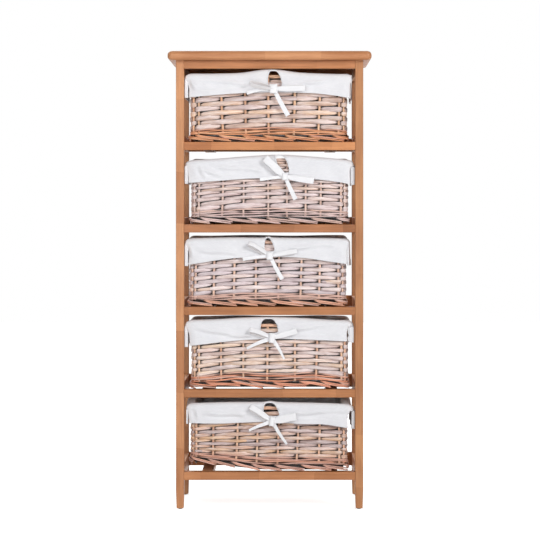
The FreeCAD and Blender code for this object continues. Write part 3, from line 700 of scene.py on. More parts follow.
# %% The five baskets
FLAP_FACE_Y = -123.6
BASKETS = {
    1: {
        "shift": -2.0,
        "stroke": 68.0,
        "rim": (128.6, 122.9),
        "ears": ((167.2, 160.6), (156.4, 158.6)),
        "rows": {"count": 11, "start": 22.4, "pitch": 9.0, "swell": 0.0, "rise": 6.5},
        "stakes": (-137.4, -92.4, -45.6, -0.6, 50.7, 100.2, 138.8),
        "leans": (-1.0, 5.0, 2.5, 1.2, -3.0, -5.0, -2.5),
        "willow": ((246, 214, 190), (234, 206, 190), (252, 216, 188), (230, 208, 202)),
        "foot": ((250, 178, 130), (240, 168, 120), (252, 194, 148), (232, 176, 150)),
        "stake": ((250, 208, 170), (244, 196, 158)),
        "top": (
            (188, 73.4), (205, 73.6), (240, 72.8), (270, 69.0),
            (300, 72.5), (338, 74.0), (350, 73.2),
        ),
        "hem": (
            (189, 97.4), (214, 95.2), (240, 93.3), (275, 92.4),
            (310, 93.2), (332, 95.3), (349, 98.0),
        ),
        "left_edge": ((186.9, 75.5), (185.5, 78.9), (188.3, 85.3), (189.1, 89.9), (188.9, 97.3)),
        "right_edge": ((350.4, 73.5), (351.9, 77.2), (351.6, 81.8), (349.6, 85.8), (349.3, 98.0)),
        "knot": (273.5, 88.8, 16.0, 19.0),
        "rear_top": 864.0,
        "side_rise": 0.0,
        "cutout": ((268.4, 70.9), (278.0, 70.9), (283.6, 86.5), (267.4, 88.0)),
        "creases": (
            ((199.5, 78.3), (243, 84.4)), ((303.5, 82.8), (340.7, 77.9)),
            ((190, 78), (196, 88)),
        ),
    },
    2: {
        "shift": 0.0,
        "stroke": 64.0,
        "rim": (126.4, 122.5),
        "ears": ((167.2, 160.8), (167.2, 159.4)),
        "rows": {"count": 17, "start": 23.6, "pitch": 5.0, "swell": 0.96, "rise": 9.0},
        "stakes": (-138.8, -91.9, -50.9, -2.8, 34.2, 70.7, 101.1, 140.4),
        "leans": (-2.5, -3.8, -1.9, 0.0, -1.0, -1.5, -2.0, -2.4),
        "willow": ((250, 230, 222), (240, 220, 216), (254, 224, 204), (232, 214, 214)),
        "foot": ((246, 222, 218), (236, 206, 196), (242, 212, 200)),
        "stake": ((252, 228, 216), (246, 216, 200)),
        "top": ((188, 160.4), (215, 159.0), (245, 156.6), (280, 154.9), (315, 157.0), (353, 160.4)),
        "hem": ((188, 183.0), (220, 180.8), (250, 178.6), (285, 178.0), (320, 179.8), (350, 184.0)),
        "left_edge": ((187.5, 161.0), (186.6, 166.0), (188.2, 174.0), (188.4, 183.2)),
        "right_edge": ((352.5, 161.0), (350.0, 171.0), (350.2, 184.0)),
        "knot": (285.0, 176.6, 13.0, 14.5),
        "rear_top": 692.0,
        "side_rise": 0.0,
        "cutout": ((274.4, 155.7), (284.6, 155.7), (290.8, 172.6), (280.4, 172.6)),
        "creases": (
            ((199, 164), (206, 177.6)), ((203, 169), (220, 174.7)),
            ((217, 166), (262, 171)),
        ),
    },
    3: {
        "shift": -4.0,
        "stroke": 62.0,
        "rim": (126.4, 122.5),
        "ears": ((167.2, 160.8), (152.6, 156.2)),
        "rows": {"count": 13, "start": 20.5, "pitch": 7.5, "swell": 0.0, "rise": 7.0},
        "stakes": (-141.5, -105.5, -65.5, -23.1, 22.3, 66.5, 102.2, 138.7),
        "leans": (-3.1, -2.5, -2.0, -0.6, -2.5, -4.0, -3.5, 1.0),
        "willow": ((244, 228, 224), (228, 214, 218), (252, 226, 208), (222, 210, 216)),
        "foot": ((250, 196, 168), (240, 204, 190), (236, 182, 154)),
        "stake": ((255, 220, 196), (248, 212, 190)),
        "top": (
            (188, 238.6), (230, 237.6), (262, 237.8), (269, 236.6),
            (276, 237.8), (320, 238.2), (345, 238.8),
        ),
        "hem": (
            (188.5, 265.0), (215, 260.6), (240, 257.8), (269, 257.0),
            (300, 257.6), (325, 261.0), (347, 264.2),
        ),
        "left_edge": ((187.8, 239.0), (186.0, 243.5), (189.0, 253.0), (188.5, 264.5)),
        "right_edge": (
            (344.5, 238.8), (348.2, 240.5), (349.2, 243.5),
            (346.7, 252.0), (347.2, 264.0),
        ),
        "knot": (269.8, 256.0, 12.6, 15.8),
        "rear_top": 534.8,
        "side_rise": 0.0,
        "cutout": ((265.2, 238.0), (270.4, 238.0), (276.0, 251.6), (263.8, 251.4)),
        "creases": (((199, 250), (236, 253.5)), ((290, 248), (334, 244)), ((190, 243), (193, 256))),
    },
    4: {
        "shift": 0.0,
        "stroke": 66.0,
        "rim": (124.6, 119.0),
        "ears": ((167.2, 161.0), (165.5, 155.5)),
        "rows": {"count": 13, "start": 25.0, "pitch": 7.5, "swell": 0.0, "rise": 7.0},
        "stakes": (-138.8, -95.5, -51.9, -4.1, 50.1, 93.1, 141.0),
        "leans": (0.6, 1.3, 0.0, -1.3, 0.0, -4.0, 0.0),
        "willow": ((250, 226, 210), (242, 220, 212), (254, 226, 202), (236, 218, 214)),
        "foot": ((248, 186, 156), (236, 196, 178), (246, 172, 138)),
        "stake": ((252, 212, 178), (246, 200, 168)),
        "top": (
            (188, 320.4), (215, 319.6), (245, 317.8), (272, 317.2),
            (300, 318.2), (330, 320.2), (347, 320.6),
        ),
        "hem": ((190, 346.0), (215, 343.0), (240, 340.4), (272, 339.0), (305, 339.6), (347, 341.5)),
        "left_edge": ((187.2, 321.6), (186.2, 326.0), (189.0, 334.3), (190.0, 346.0)),
        "right_edge": ((344.6, 320.4), (348.2, 323.7), (346.7, 333.4), (347.2, 341.5)),
        "knot": (272.0, 338.0, 11.6, 20.0),
        "rear_top": 369.2,
        "side_rise": 0.0,
        "cutout": ((262.0, 318.9), (274.4, 318.9), (279.8, 333.4), (259.4, 333.4)),
        "creases": (
            ((196.7, 327.5), (229.4, 334.4)), ((229.4, 334.4), (252, 335)),
            ((294, 329), (339, 322)),
        ),
    },
    5: {
        "shift": -1.5,
        "stroke": 56.0,
        "rim": (124.0, 117.5),
        "ears": ((164.0, 161.0), (167.2, 161.5)),
        "rows": {"count": 14, "start": 24.5, "pitch": 6.85, "swell": 0.0, "rise": 4.0},
        "stakes": (-142.7, -109.7, -61.8, -22.3, 19.2, 57.3, 99.7, 138.4),
        "leans": (0.0, -1.3, -5.6, -3.8, -4.4, -6.4, -2.9, 0.0),
        "willow": ((234, 197, 174), (192, 160, 142), (203, 181, 177), (236, 197, 161)),
        "foot": ((240, 194, 178), (224, 178, 160), (242, 184, 156)),
        "stake": ((255, 212, 180), (246, 198, 166)),
        "top": (
            (188, 403.8), (225, 402.6), (262, 402.4), (271, 401.4),
            (280, 402.6), (320, 403.4), (350, 404.6),
        ),
        "hem": (
            (189, 423.2), (220, 423.6), (250, 422.4), (272, 422.0),
            (300, 424.0), (325, 424.6), (347.5, 428.2),
        ),
        "left_edge": ((187.0, 402.4), (187.6, 410.0), (188.8, 418.3), (189.0, 423.4)),
        "right_edge": (
            (346.0, 404.0), (350.2, 407.4), (349.7, 412.4),
            (347.2, 417.0), (347.7, 428.2),
        ),
        "knot": (272.0, 421.3, 10.4, 20.0),
        "rear_top": 212.0,
        "side_rise": 8.0,
        "cutout": ((264.2, 403.0), (274.6, 403.0), (281.0, 416.8), (262.8, 415.6)),
        "creases": (
            ((205.8, 412.6), (243, 415)), ((297, 413), (345, 410)),
            ((196, 405), (199, 419)),
        ),
    },
}
for tier, basket in BASKETS.items():
    low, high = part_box(f"basket_wall_{tier}")
    basket["bottom"] = round(low.z / MM, 2)
print("bottoms:", [basket["bottom"] for basket in BASKETS.values()], "mm")


def on_basket(tier, pixel):
    """A place on the front flap in the picture, as X and Z before the basket is shifted."""
    x, z = from_picture(pixel, FLAP_FACE_Y)
    return x - BASKETS[tier]["shift"], z


# %% [markdown]
# ## How a basket has settled
# Hand-woven baskets are never quite true. The lowest one has a front left corner that is bent
# up by nearly two centimetres, and the fourth has a foot that arches off the rail in two
# places. One small function lifts the points of every part of such a basket, most at its foot
# and not at all at its rim, so the wall, the bottom and the liner stay together.

# %% Settling
FRONT_FOOT_Y = -122.0
SETTLING_REACH = 80.0
BENT_CORNER = 18.0
ARCH_LIFT = 4.2
ARCHES = ((-68, 36), (84, 34))


def smooth_step(value):
    """0 below 0, 1 above 1, and a soft ramp between them."""
    share = np.clip(value, 0.0, 1.0)
    return share * share * (3 - 2 * share)


def bell(value, width):
    """1 at 0, falling softly on both sides to a third at the width."""
    return np.exp(-((value / width) ** 2))


def settler(tier):
    """The function that moves one basket's points to where they really lie."""
    basket = BASKETS[tier]

    def settle(points):
        points = np.array(points, float)
        x, y, above = points[:, 0], points[:, 1], points[:, 2] - basket["bottom"]
        behind = y - FRONT_FOOT_Y
        lift = np.zeros(len(points))
        if tier == 5:
            bend = BENT_CORNER * np.clip((-10.0 - x) / 146.0, 0.0, 1.1) ** 1.15
            lift = bend * (1 - smooth_step(behind / 130.0))
        if tier == 4:
            waves = sum(bell(x - middle, width) for middle, width in ARCHES)
            lift = ARCH_LIFT * waves * (1 - smooth_step(behind / 60.0))
        points[:, 2] += lift * (1 - smooth_step(above / SETTLING_REACH))
        points[:, 0] += basket["shift"]
        return points

    return settle


corner = settler(5)([(-154.0, FRONT_FOOT_Y, BASKETS[5]["bottom"])])
print("basket 5's bent corner stands", round(corner[0][2] - BASKETS[5]["bottom"], 1), "mm up")

# %% [markdown]
# ## Washed willow
# The weavers are willow rods split in half and brushed with a thin white wash. The wash sits
# in the bark's fibres and wears off the high spots, so each rod shows pale, pinkish streaks
# over warm skin, greyer where it has worn, with a dark eye here and there where a leaf grew.
# The group takes the rod's own colour and its place along the rod, both kept on the mesh, and
# adds fibres, cloudy wash, worn stretches and eyes.

# %% Willow skin group and material
willow_skin, given, result = open_group(
    "willow_skin",
    [
        ("Place", "vector", None),
        ("Rod Color", "colour", None),
        ("Wash", "value", 0.35),
        ("Shade", "value", 1.0),
    ],
    [("Color", "colour"), ("Height", "value"), ("Roughness", "value")],
)
tree = willow_skin
own = given.outputs
fibres = noise(tree, own["Place"], scale=900.0, detail=3.0, squeeze=0.08)
clouds = noise(tree, own["Place"], scale=60.0, detail=2.0, squeeze=0.35)
wear = noise(tree, own["Place"], scale=85.0, detail=3.0, squeeze=0.3)
eyes_at = scale_axes(tree, own["Place"], (22.0, 130.0, 1.0))
eyes = place(tree, "ShaderNodeTexVoronoi", {"Vector": eyes_at, "Scale": 1.0}).outputs["Distance"]
streaks = rescale(tree, fibres, 0.35, 0.65, -0.4, 0.4)
washed = reckon(tree, "ADD", streaks, rescale(tree, clouds, 0.34, 0.66, 0.0, 1.0))
wash_mask = reckon(tree, "MULTIPLY", rescale(tree, washed, 0.1, 1.0, 0.0, 1.0), own["Wash"])
furrows = rescale(tree, fibres, 0.3, 0.7, 0.5, 0.0)
worn = rescale(tree, wear, 0.44, 0.66, 0.0, 0.62)
eye_mask = rescale(tree, eyes, 0.05, 0.11, 0.6, 0.0)
skin = blend_colours(tree, furrows, own["Rod Color"], (0.5, 0.36, 0.28, 1), "MULTIPLY")
skin = blend_colours(tree, wash_mask, skin, paint_from_srgb(243, 232, 232))
skin = blend_colours(tree, worn, skin, (0.6, 0.52, 0.52, 1), "MULTIPLY")
skin = blend_colours(tree, eye_mask, skin, paint_from_srgb(120, 78, 52))
# The Shade from the mesh multiplies the skin: painted shade where a rod dips behind a stake or the
# wall.
shaded = place(tree, "ShaderNodeVectorMath", {0: skin, 3: own["Shade"]}, operation="SCALE")
surface = {
    "Color": shaded.outputs[0],
    "Height": reckon(tree, "SUBTRACT", fibres, eye_mask),
    "Roughness": rescale(tree, washed, 0.1, 1.0, 0.5, 0.75),
}
connect(tree, result, surface)


def make_willow(name, wash):
    """Willow with a given amount of white wash."""
    material, tree, shader = open_material(name)
    inputs = {
        "Place": from_points(tree, "rod_place", "Vector"),
        "Rod Color": from_points(tree, "rod_colour", "Color"),
        "Wash": wash,
        "Shade": from_points(tree, "rod_shade", "Fac"),
    }
    skin = place_group(tree, willow_skin, inputs)
    dress_shader(tree, shader, skin.outputs, (0.35, 0.0005), {"Specular IOR Level": 0.3})
    return material


washed_willow = make_willow("washed_willow", wash=0.6)
bare_willow = make_willow("bare_willow", wash=0.1)
print("willow_skin:", len(willow_skin.nodes), "nodes")

# %% [markdown]
# ## The wall: stakes and randing
# A wall is woven by randing: each weaver passes in front of one upright stake and behind the
# next, and the next row does the opposite. Where it passes in front it shows its full
# width, and where it dips behind it is pinched between its neighbours, which leaves a short
# piece of stake with a dark notch on each side. A texture can't make those notches, so every
# weaver is a real rod. It runs nearly straight from stake to stake and turns sharply at each.

# %% Places on the wall
WALL_HEIGHT = 126.0
RIM_SAG = 4.0
FOOT_HEIGHT = 12.0
STAKE_FOOT = 13.5
STAKE_END = 3.0
SIDE_STAKES = (0.1, 0.37, 0.63, 0.9)


def arch_share(points):
    """1 in the middle of the front and the rear, falling to 0 at the sides."""
    return 1 - np.clip(points[:, 0] / WALL_HALF_WIDTH, -1, 1) ** 2


def rim_height(points):
    """How high the rim stands above the bottom at each point of the plan."""
    return WALL_HEIGHT + RIM_SAG * arch_share(points)


def beside_rim(points, height):
    """A height that was measured in the middle, where it sags with the rim round the plan."""
    return rim_height(points) - WALL_HEIGHT - RIM_SAG + height


def stake_places(tier, height=0.5):
    """Distances round the plan of every stake, in order, at a share of the wall's height."""
    basket = BASKETS[tier]
    fronts = [x + lean * (0.5 - height) for x, lean in zip(basket["stakes"], basket["leans"])]
    starts, runs = STAKE_PLAN.starts, STAKE_PLAN.runs
    count = len(fronts)
    places = [STAKE_PLAN.front_distance(x) for x in fronts]
    places += [starts[run] + runs[run] / 2 for run in CORNER_RUNS]
    places += [starts[run] + runs[run] * share for run in SIDE_RUNS for share in SIDE_STAKES]
    places += [starts[REAR_RUN] + runs[REAR_RUN] * (k + 0.5) / count for k in range(count)]
    return np.array(sorted(places))


def stake_count_at(distance, places):
    """How many stakes lie before a place on the ring, as a smooth number."""
    length = STAKE_PLAN.length
    turns = np.floor((distance - places[0]) / length)
    knots = np.concatenate([places[-1:] - length, places, places[:1] + length])
    count = np.interp(distance - turns * length, knots, np.arange(-1, len(places) + 1))
    return count + turns * len(places)


def row_edges(tier):
    """The heights above the bottom at which the rows meet, at the corners of the wall."""
    rows = BASKETS[tier]["rows"]
    steps = rows["pitch"] * (1 + rows["swell"] * np.exp(-np.arange(rows["count"]) / 2.6))
    return rows["start"] + np.concatenate([[0.0], np.cumsum(steps)])


def level_height(tier, level, points):
    """The height of a level of the wall. Level 0 is the lower edge of the first row."""
    rows = BASKETS[tier]["rows"]
    share = np.clip(level / rows["count"], 0.0, 1.0)
    rise = rows["rise"] * (1 - share) + RIM_SAG * share
    edges = row_edges(tier)
    return np.interp(level, np.arange(len(edges)), edges) + rise * arch_share(points)


def pick(chance, colours):
    """One of a few colours, a little lighter or darker, as a linear colour."""
    chosen = np.array(colours[chance.integers(len(colours))], float)
    return paint_from_srgb(*np.clip(chosen * chance.uniform(0.93, 1.03), 0, 255))


print("stakes of basket 1:", len(stake_places(1)))

# %% [markdown]
# ## Stakes and the dark inside
# The stakes are round peeled rods, brighter than the weavers. Behind the weave of a real
# basket it is dark, because its own back and the liner's shadow close it. A ring of flat,
# near-black strips behind the weavers paints that shade in, so that no white cloth shows between
# the rows.

# %% Stakes
STAKE_THICK = 3.6
STAKE_WIDTHS = (4.2, 4.9)
STRIP_THICK = 1.8
STRIP_INSET = 4.8
STAKE_POINTS, STRIP_POINTS = 14, 110
# Near-black painted shade for the strips, standing in for the dark behind the weave.
SHADE_BEHIND_WEAVE = paint_from_srgb(24, 15, 11)


def make_stakes(tier):
    """The upright stakes of one wall, and the strips of painted shade behind the weave."""
    basket = BASKETS[tier]
    bundle = Bundle(tier, "stakes")
    chance = bundle.chance
    heights = np.linspace(0.0, 1.0, STAKE_POINTS)
    lines = np.array([stake_places(tier, height) for height in heights])
    for line in lines.T:
        ring = STAKE_PLAN.at(line + chance.uniform(-0.4, 0.4))
        top = rim_height(ring[0]) - STAKE_END
        z = basket["bottom"] + STAKE_FOOT + (top - STAKE_FOOT) * heights
        path, out = ring_line(ring, 0.0, z)
        colour = pick(chance, basket["stake"])
        wide = chance.uniform(*STAKE_WIDTHS)
        bundle.add(path, out, np.cross(out, UP), STAKE_THICK, wide, colour)
    ring = STAKE_PLAN.at(np.linspace(0.0, STAKE_PLAN.length, STRIP_POINTS))
    levels = [np.full(STRIP_POINTS, height) for height in (2.0, FOOT_HEIGHT)]
    levels += [level_height(tier, row, ring[0]) for row in range(basket["rows"]["count"] + 1)]
    levels.append(rim_height(ring[0]) - 4.0)
    for below, above in zip(levels, levels[1:]):
        line = ring_line(ring, -STRIP_INSET, basket["bottom"] + (below + above) / 2)
        wide = (above - below) * 1.15 + 0.6
        bundle.add(*line, UP, STRIP_THICK, wide, SHADE_BEHIND_WEAVE, sides=4)
    return bundle.make(f"stakes_{tier}", bare_willow, settler(tier))


print("the longest stakes have", WALL_HEIGHT + RIM_SAG - STAKE_END - STAKE_FOOT, "mm to show")

# %% [markdown]
# ## Weavers
# A willow rod is about half a metre long, so one row takes two, laid end to end with a lap.
# Each tapers from butt to tip and has its own colour. That change of colour and width along
# a row is most of what makes the wall look woven by hand. The shade kept on each point is painted
# shade, darker where the weaver dips behind a stake and lighter towards the raised end of a stroke.

# %% Randing
WEAVER_SWING = 2.8
WEAVER_THICK = 3.4
SAMPLE_EVERY = 2.3
LAP = 24.0
CLIMB = 0.24
PINCH = 0.4
BEHIND_SHADE = 0.8
END_TUCK = 1.4
STRAIGHTNESS = 0.95


def swing_wave(count):
    """1 in front of a stake and -1 behind one, nearly straight between."""
    return np.arcsin(STRAIGHTNESS * np.cos(math.pi * count)) / math.asin(STRAIGHTNESS)


def nearest_stake(distance, places):
    """How far each place on the ring is from the stake next to it, in millimetres."""
    apart = np.abs(np.mod(distance, STAKE_PLAN.length)[:, None] - places)
    return np.minimum(apart, STAKE_PLAN.length - apart).min(axis=1)


def add_weaver(bundle, tier, row, begin, length, places, phase):
    """One weaver of one row."""
    basket = BASKETS[tier]
    share = np.linspace(0.0, 1.0, int(length / SAMPLE_EVERY))
    distance = begin + share * length
    ring = STAKE_PLAN.at(distance)
    stakes_passed = stake_count_at(distance, places) + row
    wave = swing_wave(stakes_passed)
    ends = np.clip(np.minimum(share, 1 - share) * length / LAP, 0.0, 1.0)
    swing = WEAVER_SWING * wave * (0.5 + 0.5 * ends) - END_TUCK * (1 - ends)
    low, high = (level_height(tier, level, ring[0]) for level in (row, row + 1))
    high = np.minimum(high, beside_rim(ring[0], basket["rim"][1]))
    near = np.where(wave < 0, nearest_stake(distance, places), 100.0)
    full = 1.06 + 0.1 * np.clip(wave, 0.0, 1.0) - PINCH * (1 - smooth_step((near - 2.2) / 8.0))
    half_stroke = np.mod(stakes_passed + 1, 2) - 1
    climb = signed_power(half_stroke, 1.9) * smooth_step((near - 0.3) / 3.0)
    taper = 1.05 - 0.16 * share + 0.05 * np.sin(distance / 9.0 + phase)
    wander = 0.35 * np.sin(distance / 57 + phase) + 0.3 * np.sin(distance / 19 + 2 * phase)
    z = basket["bottom"] + (low + high) / 2 + wander + CLIMB * (high - low) * climb
    wide = (high - low) * full * taper * (0.6 + 0.4 * ends)
    # Painted shade: darker near a stake where the weaver dips behind it, lighter towards a stroke's
    # raised end.
    shade = 1 - BEHIND_SHADE * (1 - smooth_step((near - 2.8) / 4.2))
    shade = shade * (1 + 0.1 * half_stroke)
    colour = pick(bundle.chance, basket["willow"])
    line = ring_line(ring, swing, z)
    bundle.add(*line, UP, WEAVER_THICK, wide, colour, square=0.8, shade=shade)


def make_randing(tier):
    """All weavers of one wall, in one mesh."""
    basket = BASKETS[tier]
    bundle = Bundle(tier, "randing")
    chance = bundle.chance
    rows = basket["rows"]["count"]
    half_round = STAKE_PLAN.length / 2
    for row in range(rows):
        if row_edges(tier)[row] + RIM_SAG > basket["rim"][1] - 2.0:
            continue
        places = stake_places(tier, (row + 0.5) / rows)
        begin = chance.uniform(0, STAKE_PLAN.length)
        middle = half_round + chance.uniform(-60, 60)
        phase = chance.uniform(0, 2 * math.pi)
        add_weaver(bundle, tier, row, begin, middle + LAP, places, phase)
        rest = STAKE_PLAN.length - middle + LAP
        add_weaver(bundle, tier, row, begin + middle, rest, places, phase + 1.3)
    return bundle.make(f"randing_{tier}", washed_willow, settler(tier))


halfway = round(float(swing_wave(0.25)) * WEAVER_SWING, 1)
print("a weaver swings out", WEAVER_SWING, "mm at a stake and", halfway, "mm a quarter further")

# %% [markdown]
# ## The foot border
# At the foot of the wall the stakes' ends are turned down in sloping strokes of two rods, each
# stroke lying on the one before. That gives the orange border along every basket's foot with
# its row of dark openings. A stroke starts behind the wall's face, bulges out half-way along
# and tucks in at its end, and one simple curve gives all of them that bulge.

# %% Foot border
FOOT_PLAN = Plan(156.6, 114.6, 17.6)
STROKES, STROKE_RODS = 24, 2
FOOT_ROD = 3.2


def add_stroke(bundle, tier, start, length):
    """One stroke of the border: rods that leave one point and run down to the right."""
    chance = bundle.chance
    share = np.linspace(0.0, 1.0, 26)
    fall = FOOT_HEIGHT - 0.9 - (STROKE_RODS - 1) * FOOT_ROD
    bulge = -2.6 * (1 - smooth_step(share / 0.12)) + 1.3 * np.sin(math.pi * share) - 1.6 * share
    size = FOOT_ROD * (1.06 - 0.26 * share)
    # Painted shade: each rod is darker at its root, where it comes out from behind the wall.
    shade = 0.5 + 0.5 * smooth_step(share / 0.1)
    for rod in range(STROKE_RODS):
        beneath = rod * FOOT_ROD * 0.95 * smooth_step(share / 0.22)
        z = FOOT_HEIGHT + 0.6 - fall * share - beneath + chance.uniform(-0.3, 0.3)
        ring = FOOT_PLAN.at(start + share * length * chance.uniform(0.94, 1.04))
        line = ring_line(ring, bulge, BASKETS[tier]["bottom"] + z)
        colour = pick(chance, BASKETS[tier]["foot"])
        bundle.add(*line, UP, size, size, colour, sides=7, shade=shade)


print("strokes of the foot are", round(FOOT_PLAN.length / STROKES, 1), "mm apart")

# %% [markdown]
# ## The wale
# Between the border and the randing a wale of thin rods locks the stakes. Each of its four rods
# passes in front of three stakes and behind the fourth. They lie close at the corners and fan
# out in the middle, because the wall stands higher there. Border and wale are the same bare
# willow, so they share a mesh.

# %% Wale
WALE_PLAN = Plan(152.4, 110.4, 13.4)
WALE_RODS, WALE_THICK = 4, 3.2
RING_STEP = 4.0


def add_wale(bundle, tier):
    """The rods of the wale, each behind every fourth stake."""
    basket = BASKETS[tier]
    places = stake_places(tier, 0.15)
    distance = np.linspace(0.0, STAKE_PLAN.length, int(WALE_PLAN.length / RING_STEP))
    ring = WALE_PLAN.at(distance * WALE_PLAN.length / STAKE_PLAN.length)
    low, high = FOOT_HEIGHT + 1.6, level_height(tier, 0, ring[0])
    size = np.clip((high - low) / WALE_RODS, 2.6, 3.3)
    for rod in range(WALE_RODS):
        phase = stake_count_at(distance, places) + rod
        dip = bell((phase + 2) % 4 - 2, 0.34)
        sway = 0.6 * np.sin(distance / 23.0 + 2.2 * rod + tier)
        sway += 0.35 * np.sin(distance / 9.5 + 1.7 * rod)
        z = low + (high - low) * (rod + 0.5) / WALE_RODS + sway
        swing = 1.5 - 3.8 * dip - 0.4 * (rod % 2)
        # Painted shade where a wale rod dips behind a stake.
        shade = 1 - 0.6 * smooth_step((dip - 0.2) / 0.6)
        colour = pick(bundle.chance, basket["foot"])
        line = ring_line(ring, swing, basket["bottom"] + z)
        bundle.add(*line, UP, WALE_THICK, size, colour, shade=shade)


def make_foot(tier):
    """The sloping strokes of the foot border, and the wale above it."""
    basket = BASKETS[tier]
    bundle = Bundle(tier, "foot")
    chance = bundle.chance
    pitch = FOOT_PLAN.length / STROKES
    offset = -8.0 + 6.0 * tier
    for stroke in range(STROKES):
        start = offset + stroke * pitch + chance.uniform(-6, 6)
        add_stroke(bundle, tier, start, basket["stroke"] * chance.uniform(0.92, 1.08))
    add_wale(bundle, tier)
    return bundle.make(f"foot_border_{tier}", bare_willow, settler(tier))


print("round the wale:", round(WALE_PLAN.length), "mm")

# %% [markdown]
# ## The rim
# The rim is a rope of three rods that the liner hides, except in the cut-out. A rope is easy
# to write down: each rod turns round a common line, a third of a turn behind the one before.

# %% Rim
RIM_PLAN = Plan(151.0, 109.0, 12.0)
RIM_RODS, RIM_ROD, RIM_TWIST = 3, 4.3, 15.0
RIM_START = 480.0


def make_rim(tier):
    """Three rods laid up like a rope along the top of the wall."""
    basket = BASKETS[tier]
    bundle = Bundle(tier, "rim")
    count = int(RIM_PLAN.length / RING_STEP)
    distance = np.linspace(0.0, RIM_PLAN.length + 16.0, count) + RIM_START
    ring = RIM_PLAN.at(distance)
    middle = basket["bottom"] + beside_rim(ring[0], basket["rim"][0])
    for rod in range(RIM_RODS):
        twist = distance / RIM_TWIST + rod * 2 * math.pi / RIM_RODS
        line = ring_line(ring, 1.8 * np.cos(twist), middle + 1.5 * np.sin(twist))
        bundle.add(*line, UP, RIM_ROD, RIM_ROD, pick(bundle.chance, basket["stake"]))
    return bundle.make(f"rim_{tier}", bare_willow, settler(tier))


print("the rim's rope turns once in", round(2 * math.pi * RIM_TWIST), "mm")

# %% [markdown]
# ## The woven bottom
# The bottom is made first on the real basket: pairs of stout sticks run from front to rear,
# and thinner weavers cross them, over one pair and under the next. It shows only from below,
# between the slats, but a basket that is lifted out is seen from there.

# %% Woven bottom
BOTTOM_STICKS = np.linspace(-132.0, 132.0, 9)
BOTTOM_ROWS = 30
BOTTOM_LIFT = 8.0


def make_bottom(tier):
    """Sticks from front to rear with weavers across them."""
    basket = BASKETS[tier]
    bundle = Bundle(tier, "bottom")
    chance = bundle.chance
    middle = basket["bottom"] + BOTTOM_LIFT
    stick_y = np.linspace(-105.0, 105.0, 12) + BASKET_MIDDLE_Y
    for x in BOTTOM_STICKS:
        for beside in (-2.4, 2.4):
            path = np.column_stack([np.full(12, x + beside), stick_y, np.full(12, middle)])
            bundle.add(path, (1, 0, 0), UP, 4.2, 3.2, pick(chance, basket["stake"]), sides=6)
    x = np.linspace(-147.0, 147.0, 76)
    pairs_passed = (x - BOTTOM_STICKS[0]) / (BOTTOM_STICKS[1] - BOTTOM_STICKS[0])
    for row in range(BOTTOM_ROWS):
        y = BASKET_MIDDLE_Y - 103.0 + 206.0 * (row + 0.5) / BOTTOM_ROWS
        z = middle + 1.9 * np.cos(math.pi * (pairs_passed + row))
        path = np.column_stack([x, np.full(len(x), y), z])
        colour = pick(chance, basket["willow"])
        bundle.add(path, UP, (0, 1, 0), 1.9, chance.uniform(5.6, 6.6), colour, sides=6)
    return bundle.make(f"woven_bottom_{tier}", washed_willow, settler(tier))


print("a bottom has", len(BOTTOM_STICKS), "pairs of sticks and", BOTTOM_ROWS, "weavers")

# %% [markdown]
# ## Weave the five baskets
# The basket rides on its CAD body, so it slides with its joint. The randing stands for the CAD
# wall, and the woven bottom for the CAD base.

# %% Make the willow pieces
for tier in TIERS:
    parts = [make_stakes(tier), make_randing(tier), make_foot(tier), make_rim(tier)]
    parts.append(make_bottom(tier))
    for part in parts:
        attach(part, f"basket_{tier}")
    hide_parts(f"basket_wall_{tier}")
    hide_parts(f"basket_base_{tier}")
    print("basket", tier, "faces:", sum(len(part.data.polygons) for part in parts))

# %% [markdown]
# ## Cotton and tape
# The liners are plain-weave cotton, and the ribbons are a firmer cotton tape. Seen close, both
# are a grid of round threads with a thicker one now and then. Two crossed waves in the
# cloth's own flat coordinates give the grid, and a slow noise gives the thick threads, so one
# group serves both cloths with another thread size.

# %% Weave group and cloth materials
plain_weave, given, result = open_group(
    "plain_weave",
    [
        ("Place", "vector", None),
        ("Thread", "value", 0.0006),
        ("Cloth Color", "colour", None),
        ("Shade Color", "colour", None),
    ],
    [("Color", "colour"), ("Height", "value"), ("Roughness", "value")],
)
tree = plain_weave
own = given.outputs
axes = place(tree, "ShaderNodeSeparateXYZ", {0: own["Place"]}).outputs
turns = reckon(tree, "DIVIDE", 2 * math.pi, own["Thread"])
warp, weft = (reckon(tree, "SINE", reckon(tree, "MULTIPLY", axes[k], turns)) for k in (0, 1))
threads = rescale(tree, reckon(tree, "MULTIPLY", warp, weft), -1.0, 1.0, 0.0, 1.0)
slubs = noise(tree, own["Place"], scale=700.0, detail=2.0, squeeze=0.2)
clouds = noise(tree, own["Place"], scale=22.0, detail=2.0)
slub_shade = rescale(tree, slubs, 0.35, 0.65, 0.0, 0.5)
shade = reckon(tree, "ADD", slub_shade, rescale(tree, clouds, 0.3, 0.7, 0.0, 0.5))
surface = {
    "Color": blend_colours(tree, shade, own["Cloth Color"], own["Shade Color"]),
    "Height": reckon(tree, "MULTIPLY_ADD", slubs, 0.6, threads),
    "Roughness": rescale(tree, threads, 0.0, 1.0, 0.95, 0.82),
}
connect(tree, result, surface)
COTTON_FEEL = {"Specular IOR Level": 0.15, "Sheen Weight": 0.08, "Sheen Roughness": 0.5}


